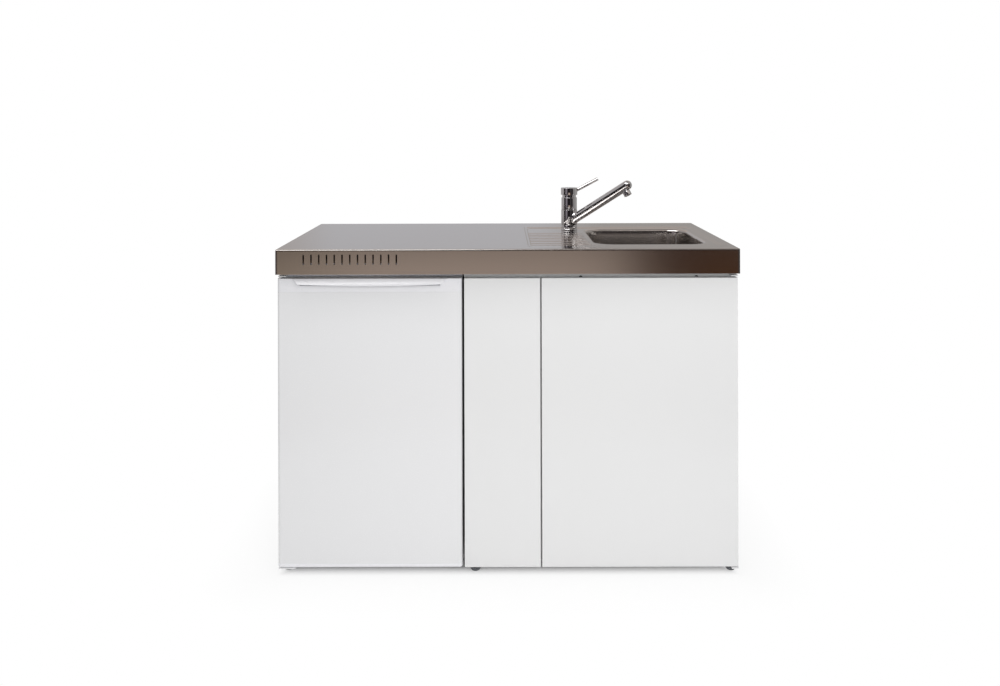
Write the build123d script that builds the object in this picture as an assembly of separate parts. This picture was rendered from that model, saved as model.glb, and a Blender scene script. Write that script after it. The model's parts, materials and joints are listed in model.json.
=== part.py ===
from build123d import *
import math
import os

# Mini kitchen unit, in millimetres. X to the right, Y to the back, Z up.
# The origin is on the floor, under the centre of the worktop.

# Overall size
WIDTH = 1200.0
DEPTH = 600.0
HEIGHT = 850.0
SIDE_INSET = 2.0  # carcasses stand this far inside the ends of the worktop
BACK_SPACE = 30.0  # free depth behind the carcasses
RUNNING = 0.05  # radial clearance of pins in their bushes
FACE_GAP = 0.3  # play between faces that slide past each other

# Worktop skin
SKIN = 1.0
APRON = 65.0
BEND = 3.0
APRON_RETURN = 12.0
CORE = 12.0
CORE_INSET = 2.5
SLOT_COUNT = 13
SLOT_WIDTH = 4.0
SLOT_HEIGHT = 27.0
SLOT_PITCH = 20.0
SLOT_START = 73.0  # first slot from the left end
SLOT_DROP = 13.0  # slot tops under the worktop

# Pressed drainer and sink zone
ZONE_RIGHT = 28.0
ZONE_WIDTH = 518.0
ZONE_FRONT = 28.0
ZONE_DEPTH = 464.0
ZONE_CORNER = 26.0
ZONE_DROP = 1.0
DECK_DROP = 1.0
DECK_INSET = 8.0
DECK_INSET_BACK = 20.0
PRESS_SLOPE = 60.0
GROOVE_COUNT = 8
GROOVE_PITCH = 35.0
GROOVE_LENGTH = 152.0
GROOVE_RADIUS = 8.0
GROOVE_DEPTH = 1.8
GROOVE_LEFT = 12.0
GROOVE_FRONT = 61.0

# Bowl
BOWL_RIGHT = 52.0
BOWL_FRONT = 97.0
BOWL_WIDTH = 316.0
BOWL_LENGTH = 354.0
BOWL_CORNER = 60.0
BOWL_DEPTH = 152.0
BOWL_DRAFT = 3.0
BOWL_LIP = 8.0
BOWL_FLOOR_BEND = 25.0
BOWL_FLANGE = 3.0

# Waste, overflow and trap
WASTE_HOLE = 45.0
WASTE_FLANGE = 56.0
WASTE_CUP = 44.0
WASTE_CUP_DEPTH = 56.0
WASTE_WALL = 1.5
WASTE_TAIL = 20.0
WASTE_TAIL_LENGTH = 30.0
BASKET_DEPTH = 46.0
BASKET_LIFT = 60.0
OVERFLOW_DROP = 36.0
OVERFLOW_PIPE = 10.0
OVERFLOW_COVER = 16.0
OVERFLOW_OUT = 35.0  # pipe beside the bowl
TRAP_BODY = 32.0
TRAP_HEIGHT = 120.0
TRAP_WALL = 3.0
OUTLET_BORE = 18.0

# Tap
TAP_FROM_RIGHT = 408.0
TAP_FROM_FRONT = 436.0
TAP_HOLE = 17.5
TAP_RADIUS = 24.4
BARREL_RADIUS = 23.6
NECK_RADIUS = 21.0
NECK_FOOT = 99.0
TAP_CORE = 15.0
TAP_SHANK = 14.0
TAP_SHANK_LENGTH = 60.0
BASE_RING_HEIGHT = 16.0
COLLAR_HEIGHT = 46.0
TAP_BODY_HEIGHT = 109.0
CARTRIDGE = 19.0
LEVER_PIVOT_HEIGHT = 105.0
CAP_RADIUS = 25.0
CAP_BOTTOM = 107.5
CAP_TOP = 129.0
CAP_ROOF = 3.0
CAP_WALL = 1.0
LEVER_RADIUS = 5.0
LEVER_START = 120.4
LEVER_REACH = 88.0
LEVER_RISE = 28.0
SPOUT_REACH = 205.0
SPOUT_START = 23.5
SPOUT_TIP = 144.5
SPOUT_TURN = -39.0
SPOUT_RADIUS = 14.0
SPOUT_BORE = 12.0
AERATOR_RADIUS = 11.5
AERATOR_BORE = 9.5
AERATOR_LENGTH = 14.0
NOZZLE_BACK = 12.0  # from the middle of the domed tip, along the spout
TAIL_RADIUS = 5.0
TAIL_BORE = 4.0
TAIL_SPACING = 16.0
TAIL_DROP = 150.0
TAIL_BEND = 30.0

# Fronts
FRONT_INSET = 15.0  # door faces behind the worktop's front edge
FRONT_THICK = 20.0
FRONT_BOTTOM = 23.0
FRONT_TOP = 772.0
SHEET = 1.0
CARCASS_GAP = 4.0  # between the fronts and the carcass
WIDE_WIDTH = 509.0
FRONT_GAP = 4.0
FRONT_MARGIN = 1.0

# Sink cabinet
CABINET_BOTTOM = 28.0
PANEL = 18.0
RAIL_HEIGHT = 77.0
RAIL_LIP = 29.0
FLOOR_LIP = 40.0
SERVICE_SIDE = 40.0  # service opening beyond the tap
SERVICE_PAST_BOWL = 150.0
SERVICE_HEIGHT = 330.0
SHELF_HEIGHT = 330.0
SHELF_SPACE = 12.0
SHELF_PIN = 3.0

# Door hinges
HINGE_PIN = 3.0
HINGE_BUSH = 6.0
HINGE_EDGE = 8.0
BRACKET = 3.0
BRACKET_GAP = 4.0
BRACKET_WIDTH = 18.0
BUSH_LENGTH = 14.0
GRIP_WIDTH = 12.0
GRIP_DEPTH = 14.0

# Pull-out
SLIDE_THICK = 12.7
SLIDE_HEIGHT = 45.0
SLIDE_BOTTOM = 80.0
SLIDE_LENGTH = 430.0
SLIDE_SHEET = 1.2
FRAME_SHEET = 3.0
FRAME_BAR = 16.0
FRAME_BOTTOM = 62.0
FRAME_TOP = 640.0
TRAY_HEIGHT = 70.0
TRAY_WALL = 1.5
UPPER_TRAY = 400.0

# Refrigerator
FRIDGE_WIDTH = 479.0
FRIDGE_BOTTOM = 22.0
FRIDGE_TOP = 805.0
FRIDGE_GAP = 5.0
FRIDGE_DOOR_THICK = 38.0
DOOR_LINER_THICK = 2.0
GASKET_THICK = 8.0
GASKET_WIDTH = 14.0
GASKET_INSET = 14.0
WALL = 40.0
LINER = 1.5
CAVITY_DEPTH = 452.0
HUMP_DEPTH = 130.0
HUMP_TOP = 265.0
MACHINE_DEPTH = 140.0
MACHINE_TOP = 222.0
FREEZER_BOTTOM = 622.0
FREEZER_DEPTH = 353.0
FREEZER_WALL = 2.0
FLAP_THICK = 5.0
FLAP_PIN = 2.0
GLASS = 4.0
GLASS_INSET = 2.0
LOWER_GLASS = 330.0
UPPER_GLASS = 520.0
GLASS_FRONT = 87.0
RIB = 5.0
DRAWER_WALL = 2.5
DRAWER_HEIGHT = 188.0
KNOB_RADIUS = 17.0
KNOB_LENGTH = 12.0
CAP_LINE = 34.0  # height of the plastic cap on the door
BOTTOM_CAP = 10.0
DOOR_CORNER = 8.0
GRIP_PROUD = 13.0
GRIP_SLANT = 16.0
GRIP_INSET_LEFT = 39.0
GRIP_INSET_RIGHT = 37.0
GRIP_END_DROP = 13.0
GRIP_MID_DROP = 17.0
GRIP_WALL = 3.0
GRIP_ROOF = 6.0
GRIP_POCKET = 12.0
RACK_HEIGHT = 60.0
RACK_DEPTH = 70.0
RACK_WALL = 2.0
FRIDGE_AXIS_EDGE = 12.0

# Feet
FOOT_HEIGHT = 14.0
FOOT_RADIUS = 14.0
FOOT_BASE = 6.5
FRIDGE_FOOT_HEIGHT = 12.0
FRIDGE_FOOT_RADIUS = 19.0
FRIDGE_FOOT_BASE = 12.5
SCREW = 5.0

# Derived planes
LEFT, RIGHT = -WIDTH / 2, WIDTH / 2
FRONT, BACK = -DEPTH / 2, DEPTH / 2
APRON_BOTTOM = HEIGHT - APRON
CORE_TOP = HEIGHT - SKIN
CORE_BOTTOM = CORE_TOP - CORE
ZONE_Z = HEIGHT - ZONE_DROP
DECK_Z = ZONE_Z - DECK_DROP
FACE_Y = FRONT + FRONT_INSET
FRONT_BACK_Y = FACE_Y + FRONT_THICK
CARCASS_Y = FRONT_BACK_Y + CARCASS_GAP
CARCASS_BACK = BACK - BACK_SPACE
FRIDGE_X = (LEFT + SIDE_INSET, LEFT + SIDE_INSET + FRIDGE_WIDTH)
CAB_X = (FRIDGE_X[1] + FRIDGE_GAP, RIGHT - SIDE_INSET)
WIDE_X = (CAB_X[1] - FRONT_MARGIN - WIDE_WIDTH, CAB_X[1] - FRONT_MARGIN)
NARROW_X = (CAB_X[0] + FRONT_MARGIN, WIDE_X[0] - FRONT_GAP)
FRONT_Z = (FRONT_BOTTOM, FRONT_TOP)


def span(start, length):
    """Limits of a span that begins at start."""
    return (start, start + length)


def grow(limits, by):
    """A span made longer by the same amount at both ends."""
    return (limits[0] - by, limits[1] + by)


def mid(limits):
    """Middle of a span."""
    return (limits[0] + limits[1]) / 2


def block(x, y, z):
    """Box that fills three spans."""
    box = Box(x[1] - x[0], y[1] - y[0], z[1] - z[0])
    return Pos(mid(x), mid(y), mid(z)) * box


def post(x, y, z, radius):
    """Upright cylinder through the span z."""
    return Pos(x, y, mid(z)) * Cylinder(radius, z[1] - z[0])


def rod_x(x, y, z, radius):
    """Cylinder along X through the span x."""
    return Pos(mid(x), y, z) * Rot(0, 90, 0) * Cylinder(radius, x[1] - x[0])


def rod_y(x, y, z, radius):
    """Cylinder along Y through the span y."""
    return Pos(x, mid(y), z) * Rot(90, 0, 0) * Cylinder(radius, y[1] - y[0])


def turned(x, y, z, *profile):
    """Solid turned about an upright axis from (radius, height) corners."""
    face = make_face(Polyline(*[(r, 0, h) for r, h in profile], close=True))
    return Pos(x, y, z) * revolve(face, Axis.Z)


def tray(x, y, z, opening, wall=SHEET):
    """Box of folded sheet with the faces named in opening left off, such as "+x-z"."""
    inner = []
    for name, limits in zip("xyz", (x, y, z)):
        low = limits[0] - wall if "-" + name in opening else limits[0] + wall
        high = limits[1] + wall if "+" + name in opening else limits[1] - wall
        inner.append((low, high))
    return block(x, y, z) - block(*inner)


def pressing(x, y, z, depth, corner, slope=PRESS_SLOPE):
    """Shallow rounded recess that narrows on the way down from z."""
    plan = Pos(mid(x), mid(y), z) * RectangleRounded(x[1] - x[0], y[1] - y[0], corner)
    return extrude(plan, amount=depth, dir=(0, 0, -1), taper=slope)


def pipe(radius, bore, bend, *points):
    """Tube along straight runs joined by arcs; a bore of 0 leaves it solid."""
    path = FilletPolyline(*points, radius=bend)
    start = Plane(path @ 0, z_dir=path % 0)
    tube = sweep(start * Circle(radius), path)
    return tube - sweep(start * Circle(bore), path) if bore else tube


def group(*solids):
    """Several separate solids kept as one sub-part."""
    return Compound(children=[s for item in solids for s in item.solids()])


# Worktop

ZONE_X = (RIGHT - ZONE_RIGHT - ZONE_WIDTH, RIGHT - ZONE_RIGHT)
ZONE_Y = span(FRONT + ZONE_FRONT, ZONE_DEPTH)
DECK_X = grow(ZONE_X, -DECK_INSET)
DECK_Y = (ZONE_Y[0] + DECK_INSET, ZONE_Y[1] - DECK_INSET_BACK)
BOWL_X = (RIGHT - BOWL_RIGHT - BOWL_WIDTH, RIGHT - BOWL_RIGHT)
BOWL_Y = span(FRONT + BOWL_FRONT, BOWL_LENGTH)
BOWL_MID = (mid(BOWL_X), mid(BOWL_Y))
BOWL_FLOOR_Z = DECK_Z - BOWL_DEPTH
TAP_X = RIGHT - TAP_FROM_RIGHT
TAP_Y = FRONT + TAP_FROM_FRONT


def bowl_plan(z, offset):
    """Rounded outline of the bowl at height z, offset outwards."""
    outline = RectangleRounded(BOWL_WIDTH + 2 * offset, BOWL_LENGTH + 2 * offset, BOWL_CORNER + offset)
    return Pos(*BOWL_MID, z) * outline


def groove(x, y, radius):
    """Drainer groove: a bar with ball ends that dips into the deck."""
    z = DECK_Z + GROOVE_RADIUS - GROOVE_DEPTH
    ends = [Pos(end, y, z) * Sphere(radius) for end in x]
    return rod_x(x, y, z, radius) + ends


def worktop():
    """Stainless skin: flat top, pressed sink zone and folded apron with vent slots."""
    body = block((LEFT, RIGHT), (FRONT, BACK), (APRON_BOTTOM, HEIGHT))
    body = fillet(body.edges().filter_by(Axis.Z) + body.faces().sort_by(Axis.Z)[-1].edges(), BEND)
    under = block(
        (LEFT + SKIN, RIGHT - SKIN), (FRONT + SKIN, BACK - SKIN), (APRON_BOTTOM + SKIN, HEIGHT - SKIN)
    )
    bends = under.edges().filter_by(Axis.Z) + under.faces().sort_by(Axis.Z)[-1].edges()
    under = fillet(bends, BEND - SKIN)
    mouth = block(
        (LEFT + SKIN, RIGHT - SKIN),
        (FRONT + APRON_RETURN, BACK - APRON_RETURN),
        (APRON_BOTTOM - SKIN, APRON_BOTTOM + 2 * SKIN),
    )
    skin = body - under - mouth
    for x, y, z, depth in (
        (ZONE_X, ZONE_Y, HEIGHT, ZONE_DROP),
        (DECK_X, DECK_Y, ZONE_Z, DECK_DROP),
    ):
        skin += pressing(grow(x, SKIN), grow(y, SKIN), z - SKIN, depth, ZONE_CORNER + SKIN)
        skin -= pressing(x, y, z, depth, ZONE_CORNER)
    groove_x = span(ZONE_X[0] + GROOVE_LEFT, GROOVE_LENGTH)
    for i in range(GROOVE_COUNT):
        y = FRONT + GROOVE_FRONT + ZONE_FRONT + i * GROOVE_PITCH
        skin += groove(groove_x, y, GROOVE_RADIUS + SKIN) & block(
            grow(groove_x, 2 * GROOVE_RADIUS), (y - GROOVE_PITCH, y + GROOVE_PITCH), (0, DECK_Z - SKIN / 2)
        )
        skin -= groove(groove_x, y, GROOVE_RADIUS)
    skin -= extrude(bowl_plan(DECK_Z - 2 * SKIN, BOWL_FLANGE), amount=4 * SKIN)
    skin -= post(TAP_X, TAP_Y, (DECK_Z - 2 * SKIN, HEIGHT), TAP_HOLE)
    slot_z = HEIGHT - SLOT_DROP - SLOT_HEIGHT / 2
    for i in range(SLOT_COUNT):
        x = LEFT + SLOT_START + i * SLOT_PITCH
        slot = extrude(
            Plane((x, FRONT - SKIN, slot_z), x_dir=(0, 0, 1), z_dir=(0, 1, 0))
            * SlotOverall(SLOT_HEIGHT, SLOT_WIDTH),
            amount=3 * SKIN,
        )
        skin -= slot
    return skin


CORE_HOLE_X = grow(ZONE_X, 4.0)
CORE_HOLE_Y = grow(ZONE_Y, 4.0)


def core_board():
    """Wooden board glued under the flat part of the skin, open under the sink zone."""
    inset = SKIN + CORE_INSET
    board = block((LEFT + inset, RIGHT - inset), (FRONT + inset, BACK - inset), (CORE_BOTTOM, CORE_TOP))
    return board - block(CORE_HOLE_X, CORE_HOLE_Y, grow((CORE_BOTTOM, CORE_TOP), 1))


def sink_bowl():
    """Deep-drawn bowl with a rolled lip that lies flush in the deck."""
    def drawn(top, offset, bend, lip):
        """Tapered block under a wide slab, with the corner between them rolled."""
        well = extrude(bowl_plan(top, offset), amount=BOWL_DEPTH, dir=(0, 0, -1), taper=BOWL_DRAFT)
        well = fillet(well.faces().sort_by(Axis.Z)[0].edges(), bend)
        well += extrude(bowl_plan(top, 4 * BOWL_LIP), amount=BOWL_LIP)
        rim = [
            e for e in well.edges()
            if abs(e.center().Z - top) < 0.01
            and abs(e.center().X - BOWL_MID[0]) < BOWL_WIDTH / 2
            and abs(e.center().Y - BOWL_MID[1]) < BOWL_LENGTH / 2
        ]
        return fillet(rim, lip)

    inside = drawn(DECK_Z, -BOWL_LIP, BOWL_FLOOR_BEND, BOWL_LIP)
    outside = drawn(DECK_Z - SKIN, -BOWL_LIP + SKIN, BOWL_FLOOR_BEND + SKIN, BOWL_LIP - SKIN)
    limit = extrude(bowl_plan(BOWL_FLOOR_Z - 2 * SKIN, BOWL_FLANGE), amount=BOWL_DEPTH + 2 * SKIN)
    bowl = (outside & limit) - inside
    bowl -= post(*BOWL_MID, grow((BOWL_FLOOR_Z - SKIN, BOWL_FLOOR_Z), 1), WASTE_HOLE)
    return bowl - overflow_hole(OVERFLOW_PIPE + FACE_GAP)


OVERFLOW_Z = DECK_Z - OVERFLOW_DROP
OVERFLOW_X = BOWL_X[0] + BOWL_LIP + OVERFLOW_DROP * math.tan(math.radians(BOWL_DRAFT))


def overflow_hole(radius, length=40.0, start=-20.0):
    """Cylinder square to the left wall of the bowl."""
    place = Pos(OVERFLOW_X, BOWL_MID[1], OVERFLOW_Z) * Rot(0, 90 - BOWL_DRAFT, 0)
    return place * Pos(0, 0, start + length / 2) * Cylinder(radius, length)


WASTE_TOP = BOWL_FLOOR_Z + WASTE_WALL
WASTE_BOTTOM = WASTE_TOP - WASTE_CUP_DEPTH
TAIL_BOTTOM = WASTE_BOTTOM - WASTE_TAIL_LENGTH
OVERFLOW_END_Z = WASTE_BOTTOM + 18.0


def waste_fitting():
    """Flanged basket waste with its tail, and the ring that clamps it under the bowl."""
    wall = WASTE_WALL
    cup = turned(
        *BOWL_MID, 0,
        (OUTLET_BORE - wall, TAIL_BOTTOM), (WASTE_TAIL - wall, TAIL_BOTTOM),
        (WASTE_TAIL - wall, WASTE_BOTTOM), (WASTE_CUP, WASTE_BOTTOM),
        (WASTE_CUP, BOWL_FLOOR_Z), (WASTE_FLANGE, BOWL_FLOOR_Z),
        (WASTE_FLANGE, WASTE_TOP), (WASTE_CUP - wall, WASTE_TOP),
        (WASTE_CUP - wall, WASTE_BOTTOM + wall), (OUTLET_BORE - wall, WASTE_BOTTOM + wall),
    )
    port = rod_x((BOWL_MID[0] - WASTE_CUP - 3, BOWL_MID[0] - WASTE_CUP + 10), BOWL_MID[1], OVERFLOW_END_Z, 8.0)
    ring_z = (BOWL_FLOOR_Z - SKIN - 7, BOWL_FLOOR_Z - SKIN)
    ring = post(*BOWL_MID, ring_z, WASTE_FLANGE - 4) - post(*BOWL_MID, ring_z, WASTE_CUP)
    return group(cup - port, ring)


def strainer_basket():
    """Lift-out basket: perforated cup with a rim, and a knob to pull it by."""
    outer = WASTE_CUP - WASTE_WALL - FACE_GAP
    rim_z = WASTE_TOP + FACE_GAP
    low = rim_z - BASKET_DEPTH
    basket = turned(
        *BOWL_MID, 0,
        (0, low), (outer, low), (outer, rim_z), (outer + 4, rim_z), (outer + 4, rim_z + 1.2),
        (outer - 1.2, rim_z + 1.2), (outer - 1.2, low + 1.5), (5, low + 1.5), (5, rim_z - 2),
        (9, rim_z), (9, rim_z + 5), (6, rim_z + 7), (0, rim_z + 7),
    )
    for ring, count in ((16.0, 8), (26.0, 12), (34.0, 16)):
        for i in range(count):
            angle = 2 * math.pi * i / count
            x = BOWL_MID[0] + ring * math.cos(angle)
            y = BOWL_MID[1] + ring * math.sin(angle)
            basket -= post(x, y, grow((low, low + 1.5), 1), 2.5)
    return basket


def overflow():
    """Cover disc on the bowl's left wall and the pipe from it down to the waste."""
    cover = overflow_hole(OVERFLOW_COVER, 1.5, 0.0)
    for i in range(6):
        angle = 2 * math.pi * i / 6
        place = Pos(OVERFLOW_X, BOWL_MID[1], OVERFLOW_Z) * Rot(0, 90 - BOWL_DRAFT, 0)
        cover -= place * Pos(9 * math.cos(angle), 9 * math.sin(angle), 0) * Cylinder(2.2, 6)
    start = OVERFLOW_X - 1.0
    out = OVERFLOW_X - OVERFLOW_OUT
    tube = pipe(
        OVERFLOW_PIPE, OVERFLOW_PIPE - 1.5, 16.0,
        (start, BOWL_MID[1], OVERFLOW_Z), (out, BOWL_MID[1], OVERFLOW_Z),
        (out, BOWL_MID[1], OVERFLOW_END_Z), (BOWL_MID[0] - WASTE_CUP, BOWL_MID[1], OVERFLOW_END_Z),
    )
    return group(cover, tube - post(*BOWL_MID, (WASTE_BOTTOM, WASTE_TOP), WASTE_CUP))


TRAP_TOP = TAIL_BOTTOM + 4.0
OUTLET_Z = TRAP_TOP - 48.0


def waste_trap():
    """Bottle trap hung on the waste tail, with its outlet pipe to the wall."""
    tail = WASTE_TAIL - WASTE_WALL
    low = TRAP_TOP - 22 - TRAP_HEIGHT
    bottle = turned(
        *BOWL_MID, 0,
        (tail, TRAP_TOP), (tail + 7, TRAP_TOP), (tail + 7, TRAP_TOP - 22), (TRAP_BODY, TRAP_TOP - 26),
        (TRAP_BODY, low + 10), (TRAP_BODY + 3, low + 10), (TRAP_BODY + 3, low), (0, low),
        (0, low + TRAP_WALL), (TRAP_BODY - TRAP_WALL, low + TRAP_WALL),
        (TRAP_BODY - TRAP_WALL, TRAP_TOP - 29), (tail, TRAP_TOP - 24),
    )
    outlet_y = (BOWL_MID[1] + TRAP_BODY - TRAP_WALL, BACK - 6)
    outlet = rod_y(BOWL_MID[0], outlet_y, OUTLET_Z, OUTLET_BORE + 2) - rod_y(
        BOWL_MID[0], grow(outlet_y, 1), OUTLET_Z, OUTLET_BORE
    )
    inner = post(*BOWL_MID, (low + TRAP_WALL, TRAP_TOP - 29), TRAP_BODY - TRAP_WALL)
    bottle -= rod_y(BOWL_MID[0], (BOWL_MID[1], outlet_y[1]), OUTLET_Z, OUTLET_BORE)
    nut_y = span(BOWL_MID[1] + TRAP_BODY + 6, 20)
    nut = rod_y(BOWL_MID[0], nut_y, OUTLET_Z, 26) - rod_y(BOWL_MID[0], nut_y, OUTLET_Z, OUTLET_BORE + 2)
    return bottle + (outlet - inner) + nut


# Supports over the refrigerator

PAD = 3.0
SUPPORT_WIDTH = 25.0


def support_spans():
    """X spans of the two rails that carry the worktop over the refrigerator."""
    left = span(FRIDGE_X[0] + 8, SUPPORT_WIDTH)
    right = span(FRIDGE_X[1] - 6 - SUPPORT_WIDTH, SUPPORT_WIDTH)
    return left, right


def support_rails():
    """Square tubes between the refrigerator and the core board."""
    z = (FRIDGE_TOP + PAD, CORE_BOTTOM)
    y = (CARCASS_Y + 30, CARCASS_BACK - 10)
    return group(*[tray(x, y, z, "+y-y", 1.5) for x in support_spans()])


def rubber_pads():
    """Pads under the support rails, and the buffers that the wide door closes against."""
    z = (FRIDGE_TOP, FRIDGE_TOP + PAD)
    solids = [
        block(x, y, z)
        for x in support_spans()
        for y in (span(CARCASS_Y + 40, 60), span(CARCASS_BACK - 80, 60))
    ]
    for x in (WIDE_X[0] + 103.5, WIDE_X[1] - 102.6):
        solids.append(rod_y(x, (FRONT_BACK_Y + FACE_GAP, CARCASS_Y), FRONT_TOP - 2, 5.0))
    return group(*solids)


# Tap

def tap(*profile):
    """Turned solid on the tap's axis, with heights above the deck."""
    return turned(TAP_X, TAP_Y, DECK_Z, *profile)


COLLAR_Z = (BASE_RING_HEIGHT + FACE_GAP, BASE_RING_HEIGHT + COLLAR_HEIGHT - FACE_GAP)
BARREL_Z = BASE_RING_HEIGHT + COLLAR_HEIGHT


def tap_base_ring():
    """Ring that seats the tap on the deck."""
    return tap(
        (TAP_CORE, 0), (TAP_RADIUS + 0.6, 0), (TAP_RADIUS + 0.6, 3), (TAP_RADIUS, 4),
        (TAP_RADIUS, BASE_RING_HEIGHT), (TAP_CORE, BASE_RING_HEIGHT),
    )


def tap_body():
    """Core that the spout turns on, barrel with a neck under the cap above it and threaded shank below."""
    return tap(
        (0, -TAP_SHANK_LENGTH), (TAP_SHANK, -TAP_SHANK_LENGTH), (TAP_SHANK, 0), (TAP_CORE, 0),
        (TAP_CORE, BARREL_Z), (BARREL_RADIUS, BARREL_Z), (BARREL_RADIUS, NECK_FOOT - 0.8),
        (BARREL_RADIUS - 0.8, NECK_FOOT), (NECK_RADIUS, NECK_FOOT), (NECK_RADIUS, TAP_BODY_HEIGHT - 0.8),
        (NECK_RADIUS - 0.8, TAP_BODY_HEIGHT), (CARTRIDGE + RUNNING, TAP_BODY_HEIGHT),
        (CARTRIDGE + RUNNING, BARREL_Z + 4), (0, BARREL_Z + 4),
    )


SPOUT_RISE = math.atan2(SPOUT_TIP - SPOUT_START, SPOUT_REACH)
SPOUT_LENGTH = math.hypot(SPOUT_TIP - SPOUT_START, SPOUT_REACH)
SPOUT_FRAME = Pos(TAP_X, TAP_Y, DECK_Z) * Rot(0, 0, SPOUT_TURN)
SPOUT_WAY = Rot(0, -math.degrees(SPOUT_RISE), 0)
NOZZLE_FRAME = Pos(SPOUT_REACH, 0, SPOUT_TIP) * SPOUT_WAY * Pos(-NOZZLE_BACK, 0, 0)  # its Z is square to the spout


def spout():
    """Collar on the tap's core with a straight tube rising from it to a domed tip."""
    place = Pos(0, 0, SPOUT_START) * Rot(0, 90 - math.degrees(SPOUT_RISE), 0)
    tube = place * Pos(0, 0, SPOUT_LENGTH / 2) * Cylinder(SPOUT_RADIUS, SPOUT_LENGTH)
    bore = place * Pos(0, 0, SPOUT_LENGTH / 2) * Cylinder(SPOUT_BORE, SPOUT_LENGTH)
    tip = Pos(SPOUT_REACH, 0, SPOUT_TIP)
    collar = Pos(0, 0, mid(COLLAR_Z)) * Cylinder(TAP_RADIUS, COLLAR_Z[1] - COLLAR_Z[0])
    hub = Pos(0, 0, mid(COLLAR_Z)) * Cylinder(TAP_CORE + RUNNING, 2 * COLLAR_HEIGHT)
    stub = NOZZLE_FRAME * Pos(0, 0, -SPOUT_RADIUS - 3) * Cylinder(AERATOR_BORE, 12)
    stub_bore = NOZZLE_FRAME * Pos(0, 0, -SPOUT_RADIUS) * Cylinder(AERATOR_BORE - 1.5, 24)
    above = Pos(0, 0, COLLAR_Z[1]) * Cylinder(2 * TAP_RADIUS, 80, align=(Align.CENTER, Align.CENTER, Align.MIN))
    body = collar + (tube - above) + tip * Sphere(SPOUT_RADIUS) + stub
    body = body - bore - tip * Sphere(SPOUT_BORE) - stub_bore - hub
    return SPOUT_FRAME * body


def aerator():
    """Ring with a mesh insert screwed on below the spout's tip, square to the spout."""
    top = 1 - SPOUT_RADIUS
    low = top - AERATOR_LENGTH
    ring = turned(
        0, 0, 0,
        (0, low + 2), (8, low + 2), (8, low), (AERATOR_RADIUS, low), (AERATOR_RADIUS, top - 4),
        (AERATOR_RADIUS - 1, top - 3), (AERATOR_BORE, top - 3), (AERATOR_BORE, low + 4), (0, low + 4),
    )
    tube = Pos(NOZZLE_BACK - SPOUT_LENGTH / 2, 0, 0) * Rot(0, 90, 0) * Cylinder(SPOUT_RADIUS, SPOUT_LENGTH)
    stub = Pos(0, 0, -SPOUT_RADIUS - 3) * Cylinder(AERATOR_BORE, 12)
    return SPOUT_FRAME * NOZZLE_FRAME * (ring - tube - stub)


FORK_INNER = 3.2
FORK_OUTER = 8.2
TONGUE = 3.0
PIVOT_PIN = 2.0
EYE = 7.0


def cartridge_spindle():
    """Cartridge that turns in the barrel, with a fork on top for the lever."""
    drum_top = LEVER_PIVOT_HEIGHT - 9
    drum = tap((0, BARREL_Z + 4), (CARTRIDGE, BARREL_Z + 4), (CARTRIDGE, drum_top), (0, drum_top))
    pivot_z = DECK_Z + LEVER_PIVOT_HEIGHT
    cheek = block((TAP_X - 8, TAP_X + 8), (TAP_Y - FORK_OUTER, TAP_Y + FORK_OUTER), (DECK_Z + drum_top, pivot_z))
    cheek += rod_y(TAP_X, (TAP_Y - FORK_OUTER, TAP_Y + FORK_OUTER), pivot_z, 8.0)
    slot = block(
        (TAP_X - 20, TAP_X + 20), (TAP_Y - FORK_INNER, TAP_Y + FORK_INNER),
        (DECK_Z + drum_top, pivot_z + 20),
    )
    hole = rod_y(TAP_X, (TAP_Y - 20, TAP_Y + 20), pivot_z, PIVOT_PIN)
    return drum + (cheek - slot - hole)


def lever_pivot_pin():
    """Pin across the fork that the lever tilts on."""
    return rod_y(TAP_X, (TAP_Y - FORK_OUTER, TAP_Y + FORK_OUTER), DECK_Z + LEVER_PIVOT_HEIGHT, PIVOT_PIN)


CAP_Z = (CAP_BOTTOM, CAP_TOP)


def lever_cap():
    """Cover over the cartridge, with the tongue that sits in the fork and a ring pressed on under its rim."""
    roof = CAP_Z[1] - CAP_ROOF
    inner = CAP_RADIUS - CAP_WALL
    cover = tap(
        (0, roof), (CAP_RADIUS, roof), (CAP_RADIUS, CAP_Z[1] - 1), (CAP_RADIUS - 1, CAP_Z[1]), (0, CAP_Z[1]),
    )
    ring = tap((inner, CAP_Z[0]), (CAP_RADIUS, CAP_Z[0]), (CAP_RADIUS, roof), (inner, roof))
    pivot_z = DECK_Z + LEVER_PIVOT_HEIGHT
    y = (TAP_Y - TONGUE, TAP_Y + TONGUE)
    tongue = block((TAP_X - 5, TAP_X + 5), y, (pivot_z, DECK_Z + roof))
    tongue += rod_y(TAP_X, y, pivot_z, EYE)
    tongue -= rod_y(TAP_X, grow(y, 1), pivot_z, PIVOT_PIN + RUNNING)
    return group(cover + tongue - lever_rod(LEVER_RADIUS), ring - lever_rod(LEVER_RADIUS))


def lever_rod(radius):
    """Straight rod from inside the cap, rising to the right."""
    rise = math.radians(LEVER_RISE)
    start = CAP_RADIUS - 3.5
    length = (LEVER_REACH - start) / math.cos(rise)
    place = Pos(TAP_X + start, TAP_Y, DECK_Z + LEVER_START) * Rot(0, 90 - LEVER_RISE, 0)
    return place * Pos(0, 0, length / 2) * Cylinder(radius, length)


def lever_pin():
    """Round operating rod with a chamfered end, screwed into the cap."""
    rod = lever_rod(LEVER_RADIUS)
    return chamfer(rod.edges().sort_by(Axis.X)[-1], 0.8)


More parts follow.
